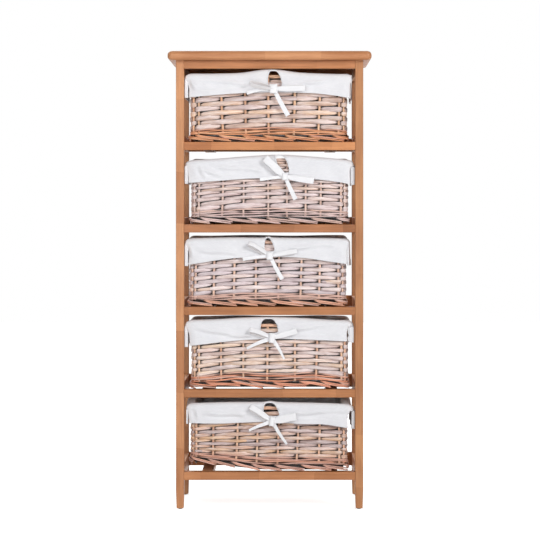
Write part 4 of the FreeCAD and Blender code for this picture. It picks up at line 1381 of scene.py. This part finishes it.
def make_cloth(name, thread, cloth, shade, bump, loop_shaded=False):
    """Matt cotton, its thread size in metres. A loop-shaded one also takes the painted shade on its
    points.
    """
    material, tree, shader = open_material(name)
    inputs = {
        "Place": from_points(tree, "cloth_place", "Vector"),
        "Thread": thread,
        "Cloth Color": paint_from_srgb(*cloth),
        "Shade Color": paint_from_srgb(*shade),
    }
    weave = place_group(tree, plain_weave, inputs).outputs
    surface = {output: weave[output] for output in ("Color", "Height", "Roughness")}
    if loop_shaded:
        painted_shade_colour = from_points(tree, "rod_colour", "Color")
        surface["Color"] = blend_colours(tree, 1.0, weave["Color"], painted_shade_colour, "MULTIPLY")
    dress_shader(tree, shader, surface, (bump, 0.0003), COTTON_FEEL)
    return material


cotton = make_cloth("liner_cotton", 0.0006, (234, 234, 237), (223, 223, 227), bump=0.25)
tape = make_cloth("ribbon_tape", 0.0008, (245, 245, 247), (236, 236, 239), bump=0.3, loop_shaded=True)
print("cloth materials:", cotton.name, tape.name)

# %% [markdown]
# ## The liner's cut and hang
# Each liner is a cotton bag that fills the basket, folds over the rim and hangs outside as
# four flaps, slit at the corners. Simulated cloth would hang well but not where this one
# hangs, so the sheet is laid by rule: a grid with one column for each place round the
# basket and one row for each line from the middle of the bottom, up the inside, over the
# rim and down to the hem. The front flap's top, hem and sides follow the picture.

# %% Columns of the liner
COLUMNS_PER_RUN = (150, 14, 64, 14, 90, 14, 64, 14)
INSIDE, OUTSIDE = (142.5, 100.5), (162.0, 117.6)
OUTSIDE_CORNER = 14.0
FRONT, RIGHT, REAR = 0, 1, 2


def ring_columns(half_x, half_y, corner):
    """Points and outward directions at the same columns, for a ring of any size."""
    plan = Plan(half_x, half_y, max(corner, 0.01))
    run = np.repeat(np.arange(8), COLUMNS_PER_RUN)
    share = np.concatenate([np.arange(count) / count for count in COLUMNS_PER_RUN])
    return plan.on_run(run, share * plan.runs[run])


def flap_columns():
    """The flap of each column (front, right, rear, left), its place across it, and the slits."""
    starts = np.concatenate([[0], np.cumsum(COLUMNS_PER_RUN)])
    slits = [int(starts[run] + COLUMNS_PER_RUN[run] // 2) for run in CORNER_RUNS]
    points = ring_columns(*OUTSIDE, OUTSIDE_CORNER)[0]
    total = len(points)
    steps = np.linalg.norm(np.roll(points, -1, axis=0) - points, axis=1)
    flap, across = np.zeros(total, int), np.zeros(total)
    for number in range(4):
        first, last = slits[number - 1] + 1, slits[number]
        columns = np.arange(first, last + 1 + (total if first > last else 0)) % total
        gone = np.concatenate([[0.0], np.cumsum(steps[columns[:-1]])])
        flap[columns], across[columns] = number, gone / gone[-1]
    return flap, across, slits


FLAP, ACROSS, SLITS = flap_columns()
print("liner columns:", sum(COLUMNS_PER_RUN), "slits after columns", SLITS)

# %% [markdown]
# ## Top and hem
# Two lines say where a flap begins and ends: the fold over the rim and the hem. On the front
# both follow a few points of the photograph, joined by a soft line, because a straight one
# would show its corners in the cloth. The sides run from the front's corners to the rear, and
# the rear, which the photograph doesn't show, hangs in slow waves.

# %% Lines of the liner
FOLD_DEPTH = 9.0
FRONT_Y = BASKET_MIDDLE_Y - OUTSIDE[1]
REAR_Y = BASKET_MIDDLE_Y + OUTSIDE[1]


def smooth_line(points, count):
    """A soft line through a few points, by Catmull and Rom's rule."""
    points = np.asarray(points, float)
    padded = np.vstack([2 * points[0] - points[1], points, 2 * points[-1] - points[-2]])
    place_on = np.linspace(0.0, len(points) - 1.0001, count)
    first = place_on.astype(int)
    t = (place_on - first)[:, None]
    a, b, c, d = (padded[first + k] for k in range(4))
    line = 2 * b + (c - a) * t
    line = line + (2 * a - 5 * b + 4 * c - d) * t**2
    line = line + (3 * b - a - 3 * c + d) * t**3
    return 0.5 * line


def measured_edge(tier, name):
    """A measured edge of the front flap as X and Z, in one soft line."""
    return smooth_line([on_basket(tier, pixel) for pixel in BASKETS[tier][name]], 160)


def side_shares(points):
    """How much each place belongs to the front and to the rear, from 0 to 1."""
    behind = points[:, 1] - BASKET_MIDDLE_Y
    return [smooth_step((away - 84.0) / 15.0) for away in (-behind, behind)]


def top_line(tier, points):
    """The height of the cloth's fold over the rim."""
    basket = BASKETS[tier]
    x, y = points[:, 0], points[:, 1]
    edge = measured_edge(tier, "top")
    front, rear = side_shares(points)
    rear_z = basket["rear_top"] + 0.7 * np.sin(x / 27.0 + tier)
    corner_z = np.where(x < 0, edge[0, 1], edge[-1, 1])
    way = np.clip((y - FRONT_Y) / (REAR_Y - FRONT_Y), 0.0, 1.0)
    side_z = corner_z + (basket["rear_top"] - corner_z) * way
    side_z += 0.9 * np.sin(y / 19.0 + 2 * tier) - 2.0 * np.sin(math.pi * way)
    side_z += basket["side_rise"] * np.sin(math.pi * way) ** 0.5
    front_z = np.interp(x, edge[:, 0], edge[:, 1])
    return front * front_z + rear * rear_z + (1 - front - rear) * side_z


def hem_line(tier, x, y):
    """The height of the lower edge of the flaps."""
    edge = measured_edge(tier, "hem")
    front_z = np.interp(x, edge[:, 0], edge[:, 1])
    corner_z = np.where(x < 0, edge[0, 1], edge[-1, 1])
    side_z = corner_z + 0.9 * np.sin(y / 23.0 + tier) - 1.5
    rear_z = edge[:, 1].mean() + 1.5 * np.sin(x / 41.0 + tier) + 0.6 * np.sin(x / 17.0)
    return np.select([FLAP == FRONT, FLAP == REAR], [front_z, rear_z], side_z)


front_hem = measured_edge(1, "hem")
print("hem 1 stands", round(front_hem[:, 1].min()), "to", round(front_hem[:, 1].max()), "mm high")

# %% [markdown]
# ## Creases
# Cloth that hangs from a fold isn't flat: it keeps ironed creases, pulls towards the knot of
# the ribbon and curls back at its free edges. Each crease is a soft ridge along a line of the
# photograph. The hem is a double fold, which lies a little prouder than the cloth above it.

# %% Relief of the cloth
HEM_WIDTH = 15.0


def crease_relief(tier, x, z):
    """How far the front flap stands out at each place, in millimetres."""
    basket = BASKETS[tier]
    relief = np.zeros_like(x)
    for start, end in basket["creases"]:
        (x0, z0), (x1, z1) = on_basket(tier, start), on_basket(tier, end)
        length = math.hypot(x1 - x0, z1 - z0)
        ux, uz = (x1 - x0) / length, (z1 - z0) / length
        along = (x - x0) * ux + (z - z0) * uz
        aside = (z - z0) * ux - (x - x0) * uz + 1.3 * np.sin(along / 13.0)
        window = smooth_step(along / 16.0 + 0.5) * (1 - smooth_step((along - length) / 16.0 + 0.5))
        relief += window * (2.5 * bell(aside, 4.4) - 1.3 * bell(aside + 6, 4.2))
    knot_x, knot_z = on_basket(tier, basket["knot"][:2])
    far = np.hypot(x - knot_x, z - knot_z)
    angle = np.arctan2(z - knot_z, x - knot_x)
    relief += 1.5 * np.cos(angle * 7 + tier) * np.exp(-far / 30.0) * smooth_step(far / 10.0)
    relief -= 1.4 * bell(far, 20.0)
    slack = 0.9 * np.sin(x / 21.0 + 2.0 * tier) * np.cos(z / 17.0)
    relief += slack + 0.6 * np.sin(x / 9.0 + z / 14.0)
    return relief


def edge_curl(gap, width, depth):
    """How far a free edge of the cloth curls back, from the distance to the edge."""
    return depth * np.clip(1 - gap / width, 0.0, 1.0) ** 2


def hem_step(share, drop):
    """The proud hem and the stitched line at its upper edge."""
    above = (1 - share) * drop - HEM_WIDTH
    return 0.5 * (1 - smooth_step(above / 1.5 + 0.5)) - 0.35 * bell(above, 1.3)


print("the hem stands out", round(float(hem_step(1.0, 60.0)), 1), "mm")

# %% [markdown]
# ## Flaps
# The front flap lies between its two measured edges. A side flap starts at the front with an
# ear, the corner of the cloth that turns outwards, and hangs close to the wall behind it. The
# rear flap hangs straight. One row of the grid takes its places from all of them, which keeps
# the liner a single sheet.

# %% Shape of the flaps
DEEPEST_DENT = -1.6
LEFT_CURL, RIGHT_CURL = (20.0, 4.2), (12.0, 2.6)
SIDE_MARGIN = 12.0
REAR_HALF = 157.0


def front_flap(tier, z, share, hem_relief, opened):
    """The X and Y of the front flap, between its two measured edges."""
    left, right = (measured_edge(tier, name)[::-1] for name in ("left_edge", "right_edge"))
    left_x, right_x = (np.interp(z, edge[:, 1], edge[:, 0]) for edge in (left, right))
    x = left_x + (right_x - left_x) * ACROSS
    stand = crease_relief(tier, x, z) * smooth_step(share * 3) + hem_relief
    curl = edge_curl(x - left_x, *LEFT_CURL) + edge_curl(right_x - x, *RIGHT_CURL)
    return x, FRONT_Y - np.maximum(stand, DEEPEST_DENT) + curl * opened


def side_flap(tier, x0, z, share, hem_relief):
    """The X of the right flap, and the Y of both side flaps, from the ear at the front on."""
    basket = BASKETS[tier]
    run = REAR_Y - FRONT_Y - SIDE_MARGIN
    ahead = np.where(FLAP == RIGHT, ACROSS, 1 - ACROSS)
    gone = (run + 3.5) * ahead
    left_ear, right_ear = basket["ears"]
    tip, root = (np.where(x0 < 0, *pair) for pair in zip(left_ear, right_ear))
    width = np.maximum(np.abs(tip - root), 4.0)
    on_ear = np.clip(gone / width, 0.0, 1.0)
    beyond_ear = np.maximum(gone - width, 0.0) * (run + 1.5) / (run + 3.5 - width)
    y = FRONT_Y + 3.3 + 1.2 * on_ear + beyond_ear
    waves = 0.9 * np.sin(y / 15.0 + tier) + 0.5 * np.sin(y / 7.0 + z / 12.0)
    hanging = OUTSIDE[0] + 1.4 * share**0.6 + waves * share + hem_relief
    hanging += 2.5 * np.exp(-run * (1 - ahead) / 8.0) * share**0.3
    ear_x = tip + (root - tip) * on_ear + np.where(x0 < 0, 1.0, -1.0) * basket["shift"]
    return ear_x + (hanging - ear_x) * smooth_step((gone - width) / 30.0), y


def rear_flap(tier, z, share, hem_relief):
    """The X and Y of the rear flap."""
    x = (1 - 2 * ACROSS) * REAR_HALF
    drape = 1.1 * np.sin(x / 19.0 + tier) + 0.6 * np.sin(x / 8.0 + z / 13.0)
    return x, REAR_Y + drape * share + hem_relief


def shape_flaps(tier, ring, share, opened):
    """One row of the four flaps, at a share of the way down from the fold to the hem."""
    x0, y0 = ring[:, 0], ring[:, 1]
    top = top_line(tier, ring)
    hems = measured_edge(tier, "hem")
    hem_x = hems[0, 0] + (hems[-1, 0] - hems[0, 0]) * ACROSS
    hem = hem_line(tier, np.where(FLAP == FRONT, x0 + (hem_x - x0) * share, x0), y0)
    z = (top - FOLD_DEPTH) * (1 - share) + hem * share
    hem_relief = hem_step(share, top - hem)
    front_x, front_y = front_flap(tier, z, share, hem_relief, opened)
    side_x, side_y = side_flap(tier, x0, z, share, hem_relief)
    rear_x, rear_y = rear_flap(tier, z, share, hem_relief)
    side_x = np.where(FLAP == RIGHT, side_x, -side_x)
    flaps = [FLAP == FRONT, FLAP == REAR]
    x = np.select(flaps, [front_x, rear_x], side_x)
    y = np.select(flaps, [front_y, rear_y], side_y)
    return np.column_stack([x0 + (x - x0) * opened, y0 + (y - y0) * opened, z])


print("the front flap has", np.count_nonzero(FLAP == FRONT), "columns")

# %% [markdown]
# ## The cut-out
# The front flap has an arched opening behind the bow, through which the weave shows. Its
# outline is a rectangle with well rounded corners, squeezed into the four corners that the
# photograph gives. A point lies inside it if a line from there crosses the outline an odd
# number of times.

# %% Outline of the cut-out
BINDING_SHARE = 1.1
CUTOUT_ROUNDNESS = 0.56


def inside_outline(x, z, outline):
    """Whether each point lies inside a closed outline."""
    inside = np.zeros(x.shape, bool)
    for (x0, z0), (x1, z1) in zip(outline, np.roll(outline, -1, axis=0)):
        crosses = (z0 > z) != (z1 > z)
        with np.errstate(divide="ignore", invalid="ignore"):
            inside ^= crosses & (x < (x1 - x0) * (z - z0) / (z1 - z0) + x0)
    return inside


def cutout_outline(tier, count=72):
    """The arched cut-out of the front flap as points in X and Z."""
    corners = np.array([on_basket(tier, pixel) for pixel in BASKETS[tier]["cutout"]])
    turn = np.linspace(0.0, 2 * math.pi, count, endpoint=False)
    waves = (np.cos(turn), np.sin(turn))
    u, v = (0.5 + 0.5 * signed_power(wave, CUTOUT_ROUNDNESS)[:, None] for wave in waves)
    upper_left, upper_right, lower_right, lower_left = corners
    upper = upper_left + (upper_right - upper_left) * u
    lower = lower_left + (lower_right - lower_left) * u
    outline = lower + (upper - lower) * v
    return outline + unit(outline - outline.mean(axis=0)) * BINDING_SHARE


print("cut-out of basket 1 spans", np.round(np.ptp(cutout_outline(1), axis=0), 1), "mm")

# %% [markdown]
# ## Sew the liner
# Now the grid becomes a mesh. Its faces are left out inside the cut-out, which goes through
# the flap and the fold above the rim, and along each corner slit, and the cut edges are drawn
# onto their true line. The sheet gets its real thickness from a Solidify modifier.

# %% Liner mesh
INSIDE_CORNER = 9.0
FLOOR_LIFT = 12.6
FOLD_SPREAD = 0.8
SIDE_LIMIT = 167.2
FLOOR_STEPS, WALL_STEPS, FOLD_STEPS, FLAP_STEPS = 11, 28, 14, 28
ON_WALL = 30
INSIDE_SHARE, FOLD_SHARE = -1.0, 0.0
SLIT_START = 0.1
CLOTH_THICK = 0.0011
WELD_REACH = 0.0002


def lay_liner(tier):
    """The points of the grid, row by row, and how far down the flap each row lies."""
    bottom = BASKETS[tier]["bottom"] + FLOOR_LIFT
    grid = []
    for share in np.linspace(0.0, 1.0, FLOOR_STEPS + 1)[:-1]:
        reach = INSIDE[1] * share
        half_x = INSIDE[0] - INSIDE[1] + reach
        points = ring_columns(half_x, reach + 0.01, INSIDE_CORNER * share)[0]
        grid.append(np.column_stack([points, np.full(len(points), bottom)]))
    points, outward = ring_columns(*INSIDE, INSIDE_CORNER)
    top = top_line(tier, points)
    for share in np.linspace(0.0, 1.0, WALL_STEPS):
        belly = math.sin(math.pi * share)
        slack = 1.5 * belly + 1.2 * np.sin(points[:, 0] / 24.0 + tier) * belly
        z = bottom + (top - FOLD_DEPTH - bottom) * share
        grid.append(np.column_stack([points - outward * slack[:, None], z]))
    ring = ring_columns(*OUTSIDE, OUTSIDE_CORNER)[0]
    spread = shape_flaps(tier, ring, 0.02, FOLD_SPREAD)[:, :2] - ring
    for angle in np.linspace(0.0, math.pi, FOLD_STEPS + 1)[1:]:
        over = (1 - math.cos(angle)) / 2
        sizes = [a + (b - a) * over for a, b in zip(INSIDE, OUTSIDE)]
        corner = INSIDE_CORNER + (OUTSIDE_CORNER - INSIDE_CORNER) * over
        points = ring_columns(*sizes, corner)[0]
        z = top_line(tier, points) - FOLD_DEPTH * (1 - math.sin(angle))
        grid.append(np.column_stack([points + spread * smooth_step((over - 0.5) / 0.5), z]))
    down_flap = np.linspace(0.0, 1.0, FLAP_STEPS + 1)[1:]
    for share in down_flap:
        opened = FOLD_SPREAD + (1 - FOLD_SPREAD) * smooth_step(share / 0.1)
        grid.append(shape_flaps(tier, ring, share, opened))
    shares = [INSIDE_SHARE] * (FLOOR_STEPS + WALL_STEPS) + [FOLD_SHARE] * FOLD_STEPS
    return np.array(grid), np.array(shares + list(down_flap))


def make_liner(tier):
    """One liner as a sheet with its cut-out and slits."""
    grid, shares = lay_liner(tier)
    rows, columns = grid.shape[:2]
    points = grid.reshape(-1, 3).copy()
    index = np.arange(rows * columns).reshape(rows, columns)
    outline = cutout_outline(tier)
    above_rim = points[:, 2] > BASKETS[tier]["bottom"] + WALL_HEIGHT + RIM_SAG - 3.0
    cuttable = np.repeat(shares > FOLD_SHARE, columns) | above_rim
    cuttable &= (points[:, 1] < BASKET_MIDDLE_Y - 90) & (np.abs(points[:, 0]) < 100)
    cut = cuttable & inside_outline(points[:, 0], points[:, 2], outline)
    faces, edge = [], set()
    for row in range(rows - 1):
        upper, lower = index[row], index[row + 1]
        open_slit = shares[row] > SLIT_START
        for column in range(columns):
            if open_slit and column in SLITS:
                continue
            beside = (column + 1) % columns
            face = [int(at) for at in (upper[column], upper[beside], lower[beside], lower[column])]
            if cut[face].any():
                edge.update(corner for corner in face if not cut[corner] and cuttable[corner])
            else:
                faces.append(face)
    for corner in edge:
        gaps = outline - points[corner, [0, 2]]
        points[corner, [0, 2]] = outline[np.argmin((gaps**2).sum(axis=1))]
    steps = np.linalg.norm(np.diff(grid, axis=0), axis=2)
    round_steps = np.hypot(*np.diff(grid[ON_WALL, :, :2], axis=0).T)
    flat = np.zeros((rows, columns, 3))
    flat[..., 0] = np.concatenate([[0.0], np.cumsum(round_steps)])
    flat[1:, :, 1] = np.cumsum(steps, axis=0)
    points = settler(tier)(points)
    points[:, 0] = np.clip(points[:, 0], -SIDE_LIMIT, SIDE_LIMIT)
    piece = mesh_piece(f"liner_{tier}_cloth", points, faces, cotton)
    keep_on_points(piece, "cloth_place", "FLOAT_VECTOR", "vector", flat.reshape(-1, 3) * MM)
    weld_and_thicken(piece)
    return piece


def weld_and_thicken(piece):
    """Closes the middle of the bottom and gives the cloth its thickness."""
    weld = piece.modifiers.new("weld", "WELD")
    weld.merge_threshold = WELD_REACH
    skin = piece.modifiers.new("thickness", "SOLIDIFY")
    skin.thickness = CLOTH_THICK
    skin.offset = 0.0


print("liner rows:", len(lay_liner(1)[1]))

# %% [markdown]
# ## The bound edge of the cut-out
# The edge of the cut-out is bound with a narrow strip of the same cotton, sewn on both sides,
# which makes a soft raised rim. It is a flat rod that runs round the outline, on the flap and,
# at the top, on the bend of the fold.

# %% Binding
TOWARD = np.array([0.0, -1.0, 0.0])
BINDING_THICK, BINDING_WIDE = 2.2, 3.0


def flap_depth(tier, x, z):
    """The Y of the front flap's outer face at a place."""
    relief = np.maximum(crease_relief(tier, x, z), DEEPEST_DENT)
    edge = measured_edge(tier, "top")
    above = np.interp(x, edge[:, 0], edge[:, 1]) - z
    bend = np.clip(1 - above / FOLD_DEPTH, 0.0, 1.0)
    radius = (OUTSIDE[1] - INSIDE[1]) / 2
    return FRONT_Y - relief + radius * (1 - np.sqrt(1 - bend**2)) - 0.4


def make_binding(tier):
    """A soft strip round the cut-out."""
    outline = cutout_outline(tier, 96)
    x, z = np.vstack([outline, outline[:2]]).T
    path = np.column_stack([x, flap_depth(tier, x, z), z])
    across = unit(np.cross(tangents(path), TOWARD))
    bundle = Bundle(tier, "binding")
    bundle.add(path, TOWARD, across, BINDING_THICK, BINDING_WIDE, WHITE, sides=10, square=0.8)
    piece = bundle.make(f"cutout_binding_{tier}", cotton, settler(tier))
    cloth_place_from_rod(piece)
    return piece


def cloth_place_from_rod(piece):
    """Copies the place along and around a strip to where the cloth materials read it."""
    values = np.empty(len(piece.data.vertices) * 3, np.float32)
    piece.data.attributes["rod_place"].data.foreach_get("vector", values)
    keep_on_points(piece, "cloth_place", "FLOAT_VECTOR", "vector", values)


depths = flap_depth(1, *cutout_outline(1).T)
print("cut-out 1 lies between Y", round(depths.min(), 1), "and", round(depths.max(), 1), "mm")

# %% [markdown]
# ## The ribbon bow
# The two halves of the front flap are tied with a flat tape: a knot, two loops and two tails.
# A loop leaves the knot, turns back in a soft round end and comes home, so it shows two
# layers. A loop that is rolled towards the viewer shows its inside between them, and one that
# lies flat shows only its front. Each loop gets its end in the picture, its roll in degrees,
# half its opening and the tape's width, and each tail its end, its two widths and its curl.

# %% Ribbon helpers
TAPE_THICK = 0.9
BOW_Y = -127.4
STEEP_ROLL = 30
# Painted shade for the inner face of a rolled loop's far strand: a little darker and warmer than
# the tape.
LOOP_INSIDE_SHADE = np.array([0.97, 0.95, 0.93, 1.0])
BOWS = {
    1: {
        "loops": (((249.6, 83.2), 52, 4.2, 10.0), ((304.6, 88.2), 14, 2.2, 11.0)),
        "tails": (((246.6, 93.2), (6.2, 7.4), -2.4), ((288.0, 115.6), (8.0, 9.8), 0.4)),
    },
    2: {
        "loops": (((265.0, 158.2), 8, 2.6, 15.0), ((313.6, 181.0), 10, 2.4, 12.2)),
        "tails": (((259.8, 179.6), (6.4, 7.0), -0.6), ((295.6, 199.4), (7.6, 9.2), 0.6)),
    },
    3: {
        "loops": (((248.4, 243.6), -40, 4.6, 9.5), ((296.8, 251.4), -24, 2.2, 9.0)),
        "tails": (((242.8, 259.2), (6.4, 7.0), -0.8), ((282.2, 279.2), (7.2, 8.4), 0.6)),
    },
    4: {
        "loops": (((249.6, 330.0), -38, 4.4, 10.5), ((296.6, 330.8), 8, 2.2, 10.8)),
        "tails": (((246.8, 348.6), (9.4, 4.8), -1.6), ((284.2, 359.2), (8.8, 3.6), -1.2)),
    },
    5: {
        "loops": (((250.0, 407.0), -30, 4.0, 11.6), ((296.0, 416.2), 8, 2.4, 15.0)),
        "tails": (((249.0, 430.4), (8.8, 4.4), -1.0), ((286.8, 444.2), (8.2, 4.6), 0.8)),
    },
}
# Half of a loop's outline: how far out, as a share of its length, and how far from its middle
# line, as a share of half its opening. The other half mirrors it.
LOOP_SHAPE = ((0.02, 0.25), (0.25, 0.7), (0.55, 1.0), (0.85, 0.9), (0.985, 0.4))
# A tail's share of length, its share of curl and its distance from the flap in millimetres.
TAIL_SHAPE = ((0.0, 0.0, 1.5), (0.2, 0.35, 3.6), (0.5, 1.0, 4.2), (0.8, 0.6, 3.0), (1.0, 0.0, 2.0))


def limb_axes(knot, end):
    """The direction from the knot to a limb's end, the one beside it, and its length."""
    along = np.array([end[0] - knot[0], 0.0, end[1] - knot[1]])
    length = np.linalg.norm(along)
    along /= length
    beside = np.array([-along[2], 0.0, along[0]])
    if beside[2] < 0:
        beside = -beside
    return along, beside, length


def add_loop(bundle, centre, axes, roll, half_gap, width):
    """A loop of tape, rolled by some degrees so that its far side shows above its near side."""
    along, beside, length = axes
    angle = math.radians(roll)
    apart = TOWARD * math.cos(angle) - beside * math.sin(angle)
    wide = beside * math.cos(angle) + TOWARD * math.sin(angle)
    line = smooth_line([*LOOP_SHAPE, *((far, -off) for far, off in reversed(LOOP_SHAPE))], 64)
    forward = 2.0 + half_gap * math.cos(angle) + width / 2 * math.sin(angle)
    forward = forward + (6.0 if abs(roll) > STEEP_ROLL else 3.0) * line[:, :1] ** 2
    path = centre + along * (line[:, :1] * length) + apart * (line[:, 1:] * half_gap)
    path = path + TOWARD * forward
    out = unit(np.cross(tangents(path), wide))
    swell = width * (0.62 + 0.38 * smooth_step(line[:, 0] / 0.45))
    # The far strand of a rolled loop gets painted shade, as it lies inside the loop.
    far_strand = smooth_step(0.5 - line[:, 1:]) * min(1.0, abs(roll) / 40.0)
    painted_shade_colour = 1 + (LOOP_INSIDE_SHADE - 1) * far_strand
    bundle.add(path, out, wide, TAPE_THICK, swell, painted_shade_colour, sides=12, square=0.5)


def add_tail(bundle, centre, axes, widths, curl):
    """A tail that leaves the knot, bellies out and comes back to the basket."""
    along, beside, length = axes
    line = smooth_line(TAIL_SHAPE, 40)
    path = centre + along * (line[:, :1] * length) - beside * line[:, 1:2] * curl
    path = path + TOWARD * line[:, 2:]
    tangent = tangents(path)
    twist = np.radians(np.linspace(0.0, 9.0 * curl, 40))[:, None]
    wide = beside * np.cos(twist) + TOWARD * np.sin(twist)
    wide = unit(wide - tangent * (wide * tangent).sum(axis=1)[:, None])
    swell = widths[0] + (widths[1] - widths[0]) * line[:, 0]
    out = np.cross(tangent, wide)
    bundle.add(path, out, wide, TAPE_THICK, swell, WHITE, sides=12, square=0.5)


print("loops and tails drawn from", len(LOOP_SHAPE) * 2, "and", len(TAIL_SHAPE), "points")

# %% [markdown]
# ## The knot
# The knot is one turn of tape drawn tight over the crossing. Its band is a short flat rod bent
# round an oval, with a plump core behind it, so it reads as wrapped cloth and not as a ball.

# %% Knot and bow
KNOT_START = -0.15
KNOT_ROUNDNESS = 0.7
KNOT_DEPTH = 4.6
KNOT_FORWARD = 5.0
BAND_THICK = 1.5


def add_knot(bundle, centre, size, tilt):
    """The band round the crossing, drawn over a soft core."""
    width, height = size
    turn = np.linspace(KNOT_START, 2 * math.pi + KNOT_START, 40)[:, None]
    lean = math.radians(tilt)
    along = np.array([math.cos(lean), 0.0, math.sin(lean)])
    beside = np.array([-math.sin(lean), 0.0, math.cos(lean)])
    reach = signed_power(np.cos(turn), KNOT_ROUNDNESS) * (width / 2 - 0.7)
    depth = KNOT_FORWARD + signed_power(np.sin(turn), KNOT_ROUNDNESS) * KNOT_DEPTH
    path = centre + along * reach + TOWARD * depth
    out = np.cross(tangents(path), beside)
    band = height * (0.95 + 0.05 * np.sin(turn[:, 0] * 3))
    bundle.add(path, out, beside, BAND_THICK, band, WHITE, sides=14, square=0.55)
    core = np.linspace(-1.0, 1.0, 14)
    spine = centre + beside * (core[:, None] * height * 0.46) + TOWARD * KNOT_FORWARD
    swell = np.sqrt(np.clip(1 - (core * 0.93) ** 2, 0.05, 1))
    bundle.add(spine, TOWARD, along, 9.6 * swell, (width - 2) * swell, WHITE, sides=12)


def make_bow(tier):
    """The knot, loops and tails of one bow."""
    bundle = Bundle(tier, "bow")
    knot_x, knot_y, *size = BASKETS[tier]["knot"]
    knot = from_picture((knot_x, knot_y), BOW_Y)
    centre = np.array([knot[0], BOW_Y + 2.4, knot[1]])
    for limbs, add_limb in (("loops", add_loop), ("tails", add_tail)):
        for end, *looks in BOWS[tier][limbs]:
            add_limb(bundle, centre, limb_axes(knot, from_picture(end, BOW_Y)), *looks)
    add_knot(bundle, centre, size, 6.0 - 3.0 * tier)
    piece = bundle.make(f"ribbon_bow_{tier}", tape)
    cloth_place_from_rod(piece)
    return piece


print("knots in millimetres:", [BASKETS[tier]["knot"][2:] for tier in TIERS])

# %% [markdown]
# ## Dress the baskets
# The liner lies in its basket and hangs from the rim. Its flat size is what the cutter lays
# out: a cross of one bottom, four walls and four flaps. The binding and the bow go with it.

for tier in TIERS:
    liner, binding, bow = make_liner(tier), make_binding(tier), make_bow(tier)
    for piece, slot_name in ((liner, "cotton"), (binding, "cotton"), (bow, "ribbon")):
        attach(piece, f"basket_{tier}")
    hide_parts(f"liner_{tier}")
    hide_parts(f"bow_{tier}")

# %% [markdown]
# The dressed tower's box is measured, and how far its upper corner lies beyond that of the CAD
# model's box is printed in millimetres. The dressed tower has to stay within a few millimetres
# of the CAD model.

# %% Size and finish
visual_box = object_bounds()
growth = [round((b - a) / MM, 1) for a, b in zip(cad_box[1], visual_box[1])]
print("visual box grows by", growth, "mm")
